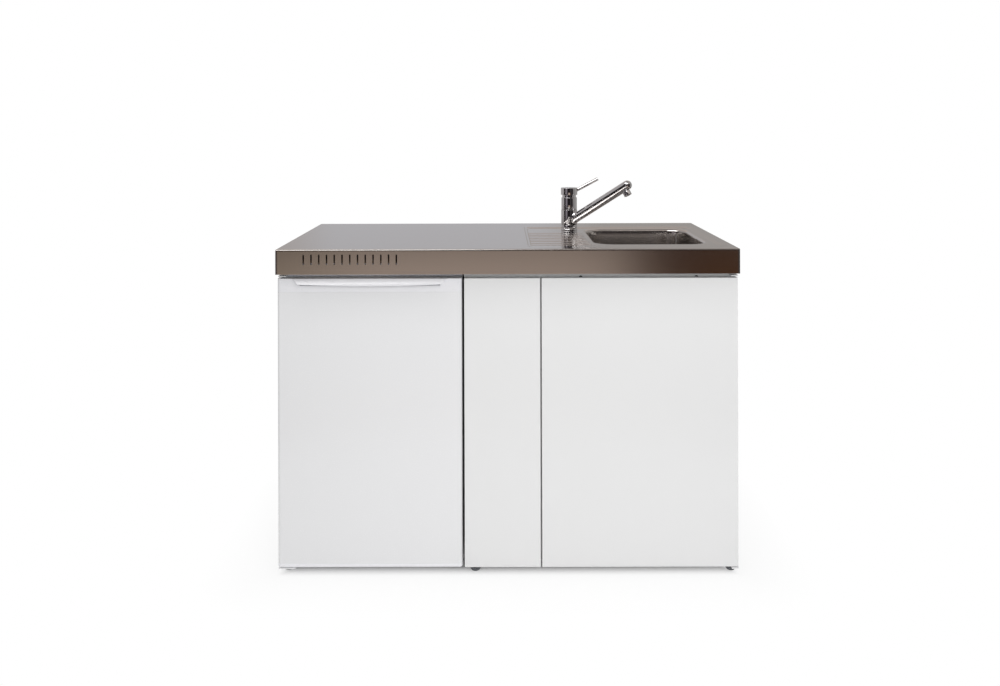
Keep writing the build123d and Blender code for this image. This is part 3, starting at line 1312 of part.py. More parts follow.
def fridge_door_gasket():
    """Magnetic seal in a ring round the door liner."""
    outer_x, outer_z = grow(FRIDGE_X, -GASKET_INSET), grow(FRONT_Z, -GASKET_INSET)
    y = (LINER_Y[1], FRIDGE_FACE_Y - FACE_GAP)
    return block(outer_x, y, outer_z) - block(
        grow(outer_x, -GASKET_WIDTH), grow(y, 1), grow(outer_z, -GASKET_WIDTH)
    )


PIECES = (
    worktop, core_board, sink_bowl, waste_fitting, strainer_basket, overflow, waste_trap,
    support_rails, rubber_pads,
    tap_base_ring, tap_body, spout, aerator, cartridge_spindle, lever_pivot_pin, lever_cap, lever_pin, tap_fixings,
    cabinet_sides, cabinet_floor, cabinet_back, cabinet_rails, partition, shelf, shelf_pins,
    door_outer_pan, door_inner_pan, door_bushes, hinge_brackets, hinge_pins, magnet_catch, strike_plate,
    slide_outer_rails, slide_middle_rails, slide_inner_rails,
    pullout_frame, pullout_trays, pullout_outer_pan, pullout_inner_pan,
    cabinet_feet, fridge_feet, foot_screws,
    fridge_shell, fridge_liner, fridge_rear_panels, compressor, condenser,
    freezer_box, freezer_flap, glass_shelves, crisper_drawer, thermostat_housing, thermostat_knob,
    fridge_door_skin, fridge_door_top_cap, fridge_door_bottom_cap, fridge_door_liner, door_racks, fridge_door_gasket,
)

os.makedirs("parts", exist_ok=True)
for piece in PIECES:
    export_step(piece(), f"parts/{piece.__name__}.step")
print("door axis", DOOR_AXIS, "refrigerator axis", FRIDGE_AXIS, "flap axis", FLAP_AXIS)
print("tap", (TAP_X, TAP_Y, DECK_Z), "knob axis", KNOB_AXIS, "bowl", BOWL_MID)
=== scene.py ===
"""Looks of the mini kitchen unit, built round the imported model. Lengths are in metres, X right, Y back, Z up."""

import json
import math

import bmesh
import bpy
from mathutils import Matrix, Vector
import numpy as np


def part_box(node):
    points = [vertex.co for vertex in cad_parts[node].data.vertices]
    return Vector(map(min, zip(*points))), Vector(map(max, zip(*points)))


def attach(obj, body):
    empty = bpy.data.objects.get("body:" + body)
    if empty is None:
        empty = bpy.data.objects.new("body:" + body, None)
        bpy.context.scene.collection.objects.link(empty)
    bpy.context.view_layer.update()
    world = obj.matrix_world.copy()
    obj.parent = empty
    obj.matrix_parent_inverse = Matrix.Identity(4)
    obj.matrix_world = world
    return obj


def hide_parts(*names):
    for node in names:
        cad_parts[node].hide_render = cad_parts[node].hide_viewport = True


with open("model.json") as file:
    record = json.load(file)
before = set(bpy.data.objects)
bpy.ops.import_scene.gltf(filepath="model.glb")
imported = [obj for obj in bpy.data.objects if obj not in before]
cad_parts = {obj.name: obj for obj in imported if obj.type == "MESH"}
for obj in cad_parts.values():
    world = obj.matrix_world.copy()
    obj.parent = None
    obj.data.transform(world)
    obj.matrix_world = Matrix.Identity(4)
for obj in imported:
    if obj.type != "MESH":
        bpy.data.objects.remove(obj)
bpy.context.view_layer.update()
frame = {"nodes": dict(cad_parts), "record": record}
nodes = frame["nodes"]
MM = 0.001

# Worktop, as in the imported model
WIDTH, DEPTH, TOP = 1.200, 0.600, 0.850
BEND = 3.0 * MM
SHEET = 1.0 * MM
APRON = 0.065
RETURN = 0.011
ZONE = ((0.054, 0.572), (-0.272, 0.192))
DECK = ((0.062, 0.564), (-0.264, 0.172))
PRESS_DEPTH = 1.0 * MM
PRESS_RUN = 3.0 * MM
ZONE_CORNER = 0.026
GROOVE_X = (0.066, 0.218)
GROOVE_FIRST = -0.211
GROOVE_PITCH = 0.035
GROOVES = 8
GROOVE_HALF = 5.0 * MM
GROOVE_DEPTH = 1.8 * MM
BOWL_MID = (0.390, -0.026)
BOWL_HALF = (0.158, 0.177)
BOWL_CORNER = 0.060
BOWL_LIP = 0.008
BOWL_FLOOR = 0.696
BOWL_BEND = 0.025
BOWL_DRAFT = math.radians(3.0)
WASTE_HOLE = 0.045
TAP = (0.192, 0.136)
TAP_HOLE = 0.0175
DECK_Z = TOP - 2 * PRESS_DEPTH
TAP_RADIUS = 0.0244
SPOUT_START, SPOUT_TIP, SPOUT_REACH, SPOUT_RADIUS = 0.0235, 0.1445, 0.205, 0.014
SPOUT_TURN = math.radians(-39.0)
SPOUT_RISE = math.atan2(SPOUT_TIP - SPOUT_START, SPOUT_REACH)
SPOUT_LENGTH = math.hypot(SPOUT_TIP - SPOUT_START, SPOUT_REACH)
NOZZLE_BACK = 0.012
NOZZLE_RADIUS = 0.0095
SIEVE_BORE, RING_RADIUS = 0.0088, 0.0115
RING_TOP, RING_LOW = -0.0148, -0.027
RING_TEETH = 48
LEVER_START, LEVER_REACH, LEVER_INSET, LEVER_RADIUS = 0.1204, 0.088, 0.0215, 0.005
LEVER_RISE = math.radians(28.0)
CAP_RADIUS, CAP_TOP, CAP_BORE, CAP_PLATE = 0.025, 0.129, 0.024, 0.126
PIVOT_Z = 0.105
SLOT_FIRST, SLOT_PITCH, SLOTS = -0.527, 0.020, 13
SLOT_SIZE = (0.004, 0.027)
SLOT_MID = 0.8235

# Shading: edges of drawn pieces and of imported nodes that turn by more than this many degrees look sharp
SMOOTH_TO = 30.0
KEEN_FROM = 32.0

# Camera, read from the photo: its width, focal length, middle row and horizon in pixels, its place and its roll
PICTURE_WIDTH, FOCAL, MIDDLE_ROW, HORIZON = 1000, 906.3, 343.0, 123.0
SENSOR = 36.0
CAMERA_PLACE = (-0.0188, -2.636, 1.175)
CAMERA_ROLL = math.radians(0.154)


# Meshes

def placed(name, data):
    """New object in the scene for some data."""
    thing = bpy.data.objects.new(name, data)
    bpy.context.scene.collection.objects.link(thing)
    return thing


def steps(start, stop, pitch):
    """Evenly spaced lines from start to stop, both kept, about a pitch apart."""
    return np.linspace(start, stop, max(2, int(round(abs(stop - start) / pitch)) + 1))


def lines(*groups):
    """All lines of the groups in order, with those closer than 0.05 mm to the last one left out."""
    values = np.sort(np.concatenate([np.atleast_1d(np.asarray(g, float)) for g in groups]))
    keep = [values[0]]
    for v in values[1:]:
        if v - keep[-1] > 0.05 * MM:
            keep.append(v)
    return np.array(keep)


def grid_faces(rows, columns, start=0, close=False):
    """Quads between the points of a grid of rows and columns; close joins the last column to the first."""
    index = start + np.arange(rows * columns).reshape(rows, columns)
    if close:
        index = np.hstack([index, index[:, :1]])
    corners = (index[:-1, :-1], index[:-1, 1:], index[1:, 1:], index[1:, :-1])
    return np.stack([c.ravel() for c in corners], axis=1)


def mesh_of(name, points, faces, merge=0.02 * MM):
    """New object at the origin from arrays of points and faces, with doubles merged and smooth shading."""
    mesh = bpy.data.meshes.new(name)
    mesh.from_pydata(points.tolist(), [], [f.tolist() for f in faces])
    body = bmesh.new()
    body.from_mesh(mesh)
    bmesh.ops.remove_doubles(body, verts=body.verts, dist=merge)
    bmesh.ops.dissolve_degenerate(body, edges=body.edges, dist=merge / 4)
    bmesh.ops.recalc_face_normals(body, faces=body.faces)
    body.to_mesh(mesh)
    body.free()
    mesh.shade_smooth()
    mesh.set_sharp_from_angle(angle=math.radians(SMOOTH_TO))
    return placed(name, mesh)


def bake_modifiers(thing):
    """Replace the object's mesh by the one its modifiers give."""
    graph = bpy.context.evaluated_depsgraph_get()
    done = bpy.data.meshes.new_from_object(thing.evaluated_get(graph))
    thing.modifiers.clear()
    thing.data = done
    done.shade_smooth()
    done.set_sharp_from_angle(angle=math.radians(SMOOTH_TO))


def ease(t):
    """Smooth step from 0 to 1: three t squared less two t cubed, held at the ends."""
    t = np.clip(t, 0, 1)
    return t * t * (3 - 2 * t)


def inside_depth(x, y, spans, corner):
    """Distance from points to a rounded rectangle's outline, positive inside."""
    half = [(s[1] - s[0]) / 2 - corner for s in spans]
    dx = np.abs(x - sum(spans[0]) / 2) - half[0]
    dy = np.abs(y - sum(spans[1]) / 2) - half[1]
    outside = np.hypot(np.maximum(dx, 0), np.maximum(dy, 0))
    return corner - outside - np.minimum(np.maximum(dx, dy), 0)


def top_height(x, y):
    """Height of the sheet: two eased steps down into the sink zone, and grooves of round section with round ends."""
    z = np.full(np.shape(x), TOP)
    z -= PRESS_DEPTH * ease(inside_depth(x, y, ZONE, ZONE_CORNER) / PRESS_RUN)
    z -= PRESS_DEPTH * ease(inside_depth(x, y, DECK, ZONE_CORNER) / PRESS_RUN)
    for i in range(GROOVES):
        past = np.maximum(np.maximum(GROOVE_X[0] - x, x - GROOVE_X[1]), 0)
        away = np.hypot(past, y - GROOVE_FIRST - i * GROOVE_PITCH) / GROOVE_HALF
        z -= GROOVE_DEPTH * ease(1.15 - away) * (away < 1.15)
    return z


def corner_lines(middle, half, radius):
    """Grid lines that meet equal angles of a corner arc, on both sides of the middle."""
    turn = np.tan(np.radians(np.arange(0, 46, 5)))
    reach = half - radius
    return np.concatenate([middle - reach - radius * turn, middle + reach + radius * turn])


def hole_ring(around, x_lines, y_lines, middle, reach, radius):
    """Unit directions and arc centres of an outline of straight sides and round corners, one for each grid line
    that meets the square hole, in order round it."""
    x_in = x_lines[(x_lines > around[0][0] - 1e-7) & (x_lines < around[0][1] + 1e-7)]
    y_in = y_lines[(y_lines > around[1][0] - 1e-7) & (y_lines < around[1][1] + 1e-7)]
    bottom = [(x, around[1][0]) for x in x_in[:-1]]
    right = [(around[0][1], y) for y in y_in[:-1]]
    top = [(x, around[1][1]) for x in x_in[:0:-1]]
    left = [(around[0][0], y) for y in y_in[:0:-1]]
    outer = np.array(bottom + right + top + left)
    rel = outer - middle
    centre = np.clip(rel, -np.array(reach), np.array(reach))
    away = rel - centre
    return outer, middle + centre, away / np.linalg.norm(away, axis=1)[:, None]


def worktop_points():
    """Sheet of the worktop and the bowl as one surface.
    The top is a grid whose height is top_height, with a square hole at the bowl and at the tap. Rings lead from the
    squares to the round outlines. The bowl carries a profile of lip, draft wall, round bend and floor inwards from
    its outline, and the rim carries a bend, the apron and its return outwards from the edge of the grid."""
    bowl_hole = [(m - h - 0.012, m + h + 0.012) for m, h in zip(BOWL_MID, BOWL_HALF)]
    tap_hole = [(m - 0.026, m + 0.026) for m in TAP]
    edge_x, edge_y = WIDTH / 2 - BEND, DEPTH / 2 - BEND
    x_lines = lines(
        steps(-edge_x, ZONE[0][0] - 0.002, 0.045),
        [s * (edge_x - 0.004) for s in (-1, 1)],
        steps(ZONE[0][0] - 0.001, DECK[0][0] + 0.006, 0.001),
        steps(GROOVE_X[0] - 0.006, GROOVE_X[0] + 0.002, 0.001),
        steps(GROOVE_X[0], GROOVE_X[1], 0.019),
        steps(GROOVE_X[1] - 0.002, GROOVE_X[1] + 0.006, 0.001),
        corner_lines(TAP[0], 0.026, 0.026), bowl_hole[0], tap_hole[0],
        corner_lines(BOWL_MID[0], BOWL_HALF[0] + 0.012, BOWL_CORNER + 0.012),
        steps(BOWL_MID[0] - 0.09, BOWL_MID[0] + 0.09, 0.02),
        steps(DECK[0][1] - 0.006, ZONE[0][1] + 0.001, 0.001), [edge_x],
    )
    groove_y = GROOVE_FIRST + np.arange(GROOVES)[:, None] * GROOVE_PITCH
    across = np.concatenate([-np.arange(1, 7), np.arange(0, 7)]) * MM
    y_lines = lines(
        [-edge_y, -edge_y + 0.004, edge_y - 0.004, edge_y], steps(ZONE[1][0] - 0.001, DECK[1][0] + 0.006, 0.001),
        (groove_y + across).ravel(), bowl_hole[1], tap_hole[1], corner_lines(TAP[1], 0.026, 0.026),
        corner_lines(BOWL_MID[1], BOWL_HALF[1] + 0.012, BOWL_CORNER + 0.012),
        steps(DECK[1][1] - 0.006, DECK[1][1] + 0.001, 0.001), steps(ZONE[1][1] - 0.006, ZONE[1][1] + 0.001, 0.001),
        steps(ZONE[1][1] + 0.02, edge_y, 0.03),
    )
    gx, gy = np.meshgrid(x_lines, y_lines)
    points = [np.stack([gx, gy, top_height(gx, gy)], axis=-1).reshape(-1, 3)]
    cells = grid_faces(len(y_lines), len(x_lines))
    mid = points[0][cells].mean(axis=1)
    for hole in (bowl_hole, tap_hole):
        out = (mid[:, 0] < hole[0][0]) | (mid[:, 0] > hole[0][1]) | (mid[:, 1] < hole[1][0]) | (mid[:, 1] > hole[1][1])
        cells, mid = cells[out], mid[out]
    faces = [cells]

    def add_rows(rows, close=True):
        """Add a surface given as rows of points."""
        start = sum(len(p) for p in points)
        rows = np.array(rows)
        points.append(rows.reshape(-1, 3))
        faces.append(grid_faces(len(rows), rows.shape[1], start, close))

    # Rings from the square holes to the outlines
    reach = [h - BOWL_CORNER for h in BOWL_HALF]
    outer, arc, way = hole_ring(bowl_hole, x_lines, y_lines, np.array(BOWL_MID), reach, BOWL_CORNER)
    edge = arc + way * BOWL_CORNER
    flat = [outer + (edge - outer) * s for s in np.linspace(0, 1, 5)]
    add_rows([np.column_stack([p, top_height(p[:, 0], p[:, 1])]) for p in flat])
    t_outer, t_arc, t_way = hole_ring(tap_hole, x_lines, y_lines, np.array(TAP), (0, 0), TAP_HOLE)
    t_edge = t_arc + t_way * TAP_HOLE
    flat = [t_outer + (t_edge - t_outer) * s for s in np.linspace(0, 1, 4)]
    add_rows([np.column_stack([p, top_height(p[:, 0], p[:, 1])]) for p in flat])

    # Bowl: lip, wall, bend and floor
    profile = [(BOWL_LIP * math.sin(a), DECK_Z - BOWL_LIP * (1 - math.cos(a)))
               for a in np.linspace(0, math.pi / 2 - BOWL_DRAFT, 9)]
    wall_low = BOWL_FLOOR + BOWL_BEND
    start_in, start_z = profile[-1]
    for z in np.linspace(start_z, wall_low, 8)[1:]:
        profile.append((start_in + (start_z - z) * math.tan(BOWL_DRAFT), z))
    wall_in = profile[-1][0]
    for a in np.linspace(0, math.pi / 2 - BOWL_DRAFT, 11)[1:]:
        profile.append((wall_in + BOWL_BEND * (math.cos(BOWL_DRAFT) - math.cos(a + BOWL_DRAFT)),
                        BOWL_FLOOR + 0.0012 + BOWL_BEND * (1 - math.sin(a + BOWL_DRAFT))))
    rows = [np.column_stack([arc + way * (BOWL_CORNER - o), np.full(len(arc), z)]) for o, z in profile]
    rim = rows[-1]
    rel = rim[:, :2] - BOWL_MID
    circle = BOWL_MID + rel / np.linalg.norm(rel, axis=1)[:, None] * WASTE_HOLE
    for s in np.linspace(0, 1, 9)[1:]:
        flat_xy = rim[:, :2] + (circle - rim[:, :2]) * s
        rows.append(np.column_stack([flat_xy, rim[:, 2] - (rim[:, 2] - BOWL_FLOOR) * ease(s * 1.5)]))
    add_rows(rows)

    # Rim: bend, apron and return
    fan = np.radians(np.arange(0, 91, 15))
    corners = [(edge_x, -edge_y, -90), (edge_x, edge_y, 0), (-edge_x, edge_y, 90), (-edge_x, -edge_y, 180)]
    sides = [
        [(x, -edge_y) for x in x_lines], [(edge_x, y) for y in y_lines],
        [(x, edge_y) for x in x_lines[::-1]], [(-edge_x, y) for y in y_lines[::-1]],
    ]
    base, out = [], []
    for side, (cx, cy, turn) in zip(sides, corners):
        first = math.radians(turn)
        for p in side[:-1]:
            base.append(p)
            out.append((math.cos(first), math.sin(first)))
        for a in fan[:-1]:
            base.append((cx, cy))
            out.append((math.cos(first + a), math.sin(first + a)))
    base, out = np.array(base), np.array(out)
    heights = top_height(base[:, 0], base[:, 1])
    rows = [np.column_stack([base, heights])]
    for a in np.linspace(0, math.pi / 2, 8)[1:]:
        rows.append(np.column_stack([base + out * BEND * math.sin(a), heights - BEND * (1 - math.cos(a))]))
    low = TOP - APRON
    fold = 0.4 * MM
    for z in (TOP - BEND - 0.002, TOP - BEND - 0.006, low + 0.006, low + 0.002, low + 1.3 * fold):
        rows.append(np.column_stack([base + out * BEND, np.full(len(base), z)]))
    sideways = np.column_stack([np.zeros(len(out)), out[:, 1]])
    for a in np.linspace(0, math.pi / 2, 5):
        inwards = sideways * fold * (1 - math.cos(a))
        rows.append(np.column_stack([base + out * BEND - inwards, np.full(len(base), low + fold * (1 - math.sin(a)))]))
    rows.append(np.column_stack([base + out * BEND - sideways * RETURN, np.full(len(base), low)]))
    add_rows(rows)
    return np.concatenate(points), np.concatenate(faces)


def capsule(width, height, depth, sides=10):
    """Outline of two straight sides and two half circles, carried through a depth, as a closed solid."""
    turn = np.linspace(0, math.pi, sides)
    x = np.concatenate([np.cos(turn), -np.cos(turn)]) * width / 2
    z = np.concatenate([np.sin(turn), -np.sin(turn)]) * width / 2
    z += np.repeat([1, -1], sides) * (height - width) / 2
    front = np.column_stack([x, np.full(2 * sides, -depth / 2), z])
    back = front + np.array([0, depth, 0])
    return np.concatenate([front, back]), 2 * sides


def vent_cutter():
    """Row of capsules that cuts the vent slots out of the apron."""
    points, faces, count = [], [], 0
    for i in range(SLOTS):
        shape, n = capsule(*SLOT_SIZE, 0.006)
        points.append(shape + np.array([SLOT_FIRST + i * SLOT_PITCH, -DEPTH / 2, SLOT_MID]))
        ring = count + np.arange(n)
        faces += [ring, ring[::-1] + n]
        faces += [np.array([a, b, b + n, a + n]) for a, b in zip(ring, np.roll(ring, -1))]
        count += 2 * n
    return mesh_of("vent_cutter", np.concatenate(points), faces)


def make_worktop():
    """The drawn sheet with its thickness, and the vent slots cut through the apron."""
    sheet = mesh_of("worktop_and_bowl", *worktop_points())
    if sheet.data.polygons[0].normal.z < 0:
        sheet.data.flip_normals()
    wall = sheet.modifiers.new("thickness", "SOLIDIFY")
    wall.thickness, wall.offset = SHEET, -1
    cutter = vent_cutter()
    cut = sheet.modifiers.new("vents", "BOOLEAN")
    cut.object, cut.operation, cut.solver = cutter, "DIFFERENCE", "EXACT"
    bake_modifiers(sheet)
    bpy.data.objects.remove(cutter)
    return sheet


# Tap: surfaces of revolution and pipes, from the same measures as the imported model

def arc_of(first, corner, last, radius, count=5):
    """Points of a curve that rounds one corner of a profile: a parabola between two points on its legs."""
    first, corner, last = (np.asarray(p, float) for p in (first, corner, last))
    legs = [first - corner, last - corner]
    reach = min(radius, *(np.linalg.norm(leg) / 2.01 for leg in legs))
    ends = [corner + leg / np.linalg.norm(leg) * reach for leg in legs]
    t = np.linspace(0, 1, count)[:, None]
    return (1 - t) ** 2 * ends[0] + 2 * t * (1 - t) * corner + t ** 2 * ends[1]


def softened(profile, radius):
    """Profile with each inner corner rounded to about a radius."""
    middle = [arc_of(*profile[i:i + 3], radius) for i in range(len(profile) - 2)]
    return np.concatenate([[profile[0]], *middle, [profile[-1]]])


def turn_profile(profile, centre, base, sides=96):
    """Points and faces of a profile of radius and height turned about an upright axis. A radius of 0 closes it."""
    turn = np.linspace(0, 2 * math.pi, sides, endpoint=False)
    radius, height = np.asarray(profile).T[:, :, None]
    x = centre[0] + radius * np.cos(turn)
    y = centre[1] + radius * np.sin(turn)
    points = np.stack([x, y, np.broadcast_to(base + height, x.shape)], axis=-1).reshape(-1, 3)
    return points, grid_faces(len(profile), sides, close=True)


def closed(profile):
    """Profile with its first point repeated at the end, so that it turns into a ring with no open edge."""
    return np.concatenate([profile, profile[:1]])


def pipe_rows(start, way, radii, along, sides=64):
    """Rings of a straight pipe: radii and places along the way, each ring square to the way."""
    way = np.asarray(way, float) / np.linalg.norm(way)
    side = np.array([-way[1], way[0], 0])
    side = side / np.linalg.norm(side) if np.linalg.norm(side) > 1e-6 else np.array([1.0, 0, 0])
    up = np.cross(way, side)
    turn = np.linspace(0, 2 * math.pi, sides, endpoint=False)
    ring = np.cos(turn)[:, None] * side + np.sin(turn)[:, None] * up
    radii, along = np.asarray(radii, float)[:, None, None], np.asarray(along, float)[:, None, None]
    return np.asarray(start) + along * way + radii * ring


def joined(*parts):
    """One set of points and faces from several."""
    points, faces, count = [], [], 0
    for p, f in parts:
        points.append(p)
        faces.append(f + count)
        count += len(p)
    return np.concatenate(points), np.concatenate(faces)


def row_surface(rows):
    """Points and faces of closed rings laid one after another."""
    rows = np.asarray(rows)
    return rows.reshape(-1, 3), grid_faces(len(rows), rows.shape[1], close=True)


def make_tap_ring():
    """Seat of the tap: a turned ring with a small foot and softened edges."""
    edge = [(0.015, 0.008), (0.015, 0), (TAP_RADIUS + 0.6 * MM, 0), (TAP_RADIUS + 0.6 * MM, 0.003),
            (TAP_RADIUS, 0.004), (TAP_RADIUS, 0.016), (0.015, 0.016), (0.015, 0.008)]
    return mesh_of("tap_seat", *turn_profile(softened(edge, 0.5 * MM), TAP, DECK_Z))


def make_tap_body():
    """Barrel with its neck, the core below it and the shank, whose thread is rings 1.5 mm apart: the radius falls by
    0.5 mm times half of one less the cosine of the height."""
    height = np.linspace(-0.059, -0.004, 296)
    thread = np.column_stack([0.014 - 0.25 * MM * (1 - np.cos(2 * math.pi * height / 0.0015)), height])
    barrel = softened([
        (0.014, 0), (0.015, 0), (0.015, 0.062), (0.0236, 0.062), (0.0236, 0.099), (0.021, 0.099),
        (0.021, 0.109), (0.0192, 0.109), (0.0192, 0.066), (0, 0.066),
    ], 0.6 * MM)
    profile = np.concatenate([[(0, -0.060), (0.0132, -0.060)], thread, barrel])
    return mesh_of("tap_barrel", *turn_profile(profile, TAP, DECK_Z))


def spout_ways():
    """Unit directions along the spout's pipe and level across it."""
    flat = math.cos(SPOUT_TURN), math.sin(SPOUT_TURN)
    way = np.array([flat[0] * math.cos(SPOUT_RISE), flat[1] * math.cos(SPOUT_RISE), math.sin(SPOUT_RISE)])
    return way, np.array([-flat[1], flat[0], 0])


def make_spout():
    """Collar, and a straight pipe that rises from it to a round tip with a nozzle below. The pipe's first ring lies
    on the collar: along each of its lines, the start is where the line leaves the collar's cylinder. Its radius
    swells by an eased 2.2 mm next to the collar, as the soldered joint does."""
    way, level_across = spout_ways()
    flat = np.array([math.cos(SPOUT_TURN), math.sin(SPOUT_TURN), 0.0])
    start = np.array([*TAP, DECK_Z + SPOUT_START])
    along = np.concatenate([[0, 0.8, 1.8, 3, 4.5, 6.5], np.linspace(10, 1000 * SPOUT_LENGTH, 24)]) * MM
    swell = 2.2 * MM * (1 - ease(along / (6.5 * MM)))
    rows = pipe_rows(start, way, SPOUT_RADIUS + np.where(along > 7 * MM, 0, swell), along)
    off = rows[0] - start
    across = off @ level_across
    level = off @ flat
    gone = (np.sqrt(np.maximum((TAP_RADIUS - 0.2 * MM) ** 2 - across ** 2, 0)) - level) / math.cos(SPOUT_RISE)
    share = along / SPOUT_LENGTH
    slid = gone + share[:, None] * (SPOUT_LENGTH - gone)
    slid[:6] = gone + along[:6, None]
    rows = rows + (slid - along[:, None])[:, :, None] * way
    end = start + way * SPOUT_LENGTH
    bend = np.radians(np.arange(6, 91, 7))
    dome = pipe_rows(end, way, SPOUT_RADIUS * np.cos(bend), SPOUT_RADIUS * np.sin(bend))
    collar = closed(softened([
        (TAP_RADIUS, 0.040), (TAP_RADIUS, 0.0617), (0.0152, 0.0617), (0.0152, 0.0163), (TAP_RADIUS, 0.0163),
        (TAP_RADIUS, 0.039),
    ], 0.6 * MM))
    below = np.cross(level_across, way)
    nozzle = pipe_rows(end - NOZZLE_BACK * way, below, [NOZZLE_RADIUS, NOZZLE_RADIUS], [0.010, 0.022])
    return mesh_of("spout_pipe", *joined(
        turn_profile(collar, TAP, DECK_Z), row_surface(np.concatenate([rows, dome])), row_surface(nozzle),
    ))


def make_aerator():
    """Nozzle ring below the tip, square to the pipe: knurled by a small wave of teeth round it, with a wire sieve
    of rings inside. It is turned about an upright axis, then laid along the pipe's own three directions."""
    edge = softened([(SIEVE_BORE, RING_TOP), (RING_RADIUS, RING_TOP), (RING_RADIUS, RING_LOW), (SIEVE_BORE, RING_LOW),
                     (SIEVE_BORE, RING_LOW + 0.0015)], 0.5 * MM)
    sieve_z = RING_LOW + 0.0018
    wires = np.linspace(SIEVE_BORE, 0.0004, 43)
    sieve = np.column_stack([wires, sieve_z + 0.25 * MM * np.cos(np.arange(43) * math.pi / 2)])
    points, faces = turn_profile(np.concatenate([edge, sieve, [(0, sieve_z)]]), (0, 0), 0, 192)
    radius = np.hypot(points[:, 0], points[:, 1])
    body = (radius > RING_RADIUS - 0.3 * MM) & (points[:, 2] < RING_TOP - 0.002) & (points[:, 2] > RING_LOW + 0.002)
    turn = np.arctan2(points[:, 1], points[:, 0])
    points[:, :2] *= np.where(body, 1 - 0.018 * (1 + np.cos(RING_TEETH * turn)) / 2, 1)[:, None]
    way, across = spout_ways()
    tip = np.array([*TAP, DECK_Z + SPOUT_START]) + way * SPOUT_LENGTH
    points = tip - NOZZLE_BACK * way + points @ np.array([way, across, np.cross(way, across)])
    return mesh_of("nozzle_ring", points, faces)


def make_lever_cap():
    """Cap over the cartridge: turned, with a rim, a top that is crowned by 0.5 mm, and a hollow below it for the
    neck and the fork, with the plate that hangs on the pivot pin."""
    ring = np.linspace(1, 0, 12)
    crown_radius = CAP_RADIUS - 1.4 * MM
    crown = np.column_stack([crown_radius * ring, CAP_TOP - 0.5 * MM * ring ** 2])
    outside = softened([
        (CAP_BORE, 0.1085), (CAP_BORE, 0.1075), (CAP_RADIUS, 0.1075), (CAP_RADIUS, CAP_TOP - 0.6 * MM),
        (crown_radius, CAP_TOP - 0.5 * MM),
    ], 1.2 * MM)
    shell = np.concatenate([[(0, CAP_PLATE), (CAP_BORE, CAP_PLATE)], outside, crown])
    turn = np.radians(np.arange(180, 361, 15))
    eye = np.column_stack([0.007 * np.cos(turn), 0.007 * np.sin(turn)])
    outline = np.concatenate([[(-0.005, 0.0215)], [(-0.005, 0.006)], eye, [(0.005, 0.006)], [(0.005, 0.0215)]])
    plate = [np.column_stack([TAP[0] + outline[:, 0], np.full(len(outline), TAP[1] + y),
                              DECK_Z + PIVOT_Z + outline[:, 1]]) for y in (-0.003, 0.003)]
    ends = [plate[0] * 0 + plate[0].mean(axis=0), *plate, plate[1] * 0 + plate[1].mean(axis=0)]
    return mesh_of("tap_cap", *joined(turn_profile(shell, TAP, DECK_Z), row_surface(ends)))


def make_lever():
    """Rod of the lever: a straight pipe from inside the cap, with a softened end."""
    start = np.array([TAP[0] + LEVER_INSET, TAP[1], DECK_Z + LEVER_START])
    length = (LEVER_REACH - LEVER_INSET) / math.cos(LEVER_RISE) - 0.2 * MM
    profile = softened([(0, 0), (LEVER_RADIUS, 0), (LEVER_RADIUS, length), (0, length)], 1.0 * MM)
    way = (math.cos(LEVER_RISE), 0, math.sin(LEVER_RISE))
    return mesh_of("tap_lever", *row_surface(pipe_rows(start, way, profile[:, 0], profile[:, 1], 48)))


# Edges

BOX_SLACK = 0.02 * MM
VOLUME_SLACK = 0.12
LEAN_LIMIT = 0.4


def worst_lean(mesh):
    """Smallest cosine between a face and the normals at its corners, over the faces of 1 square millimetre or more."""
    corners = np.zeros(3 * len(mesh.loops), np.float32)
    mesh.corner_normals.foreach_get("vector", corners)
    faces = np.zeros(3 * len(mesh.polygons), np.float32)
    mesh.polygons.foreach_get("normal", faces)
    sizes = np.zeros(len(mesh.polygons), np.float32)
    mesh.polygons.foreach_get("area", sizes)
    counts = np.zeros(len(mesh.polygons), np.int32)
    mesh.polygons.foreach_get("loop_total", counts)
    owner = np.repeat(np.arange(len(counts)), counts)
    lean = (corners.reshape(-1, 3) * faces.reshape(-1, 3)[owner]).sum(axis=1)
    return np.nan_to_num(lean[sizes[owner] > MM ** 2], nan=-1.0).min()


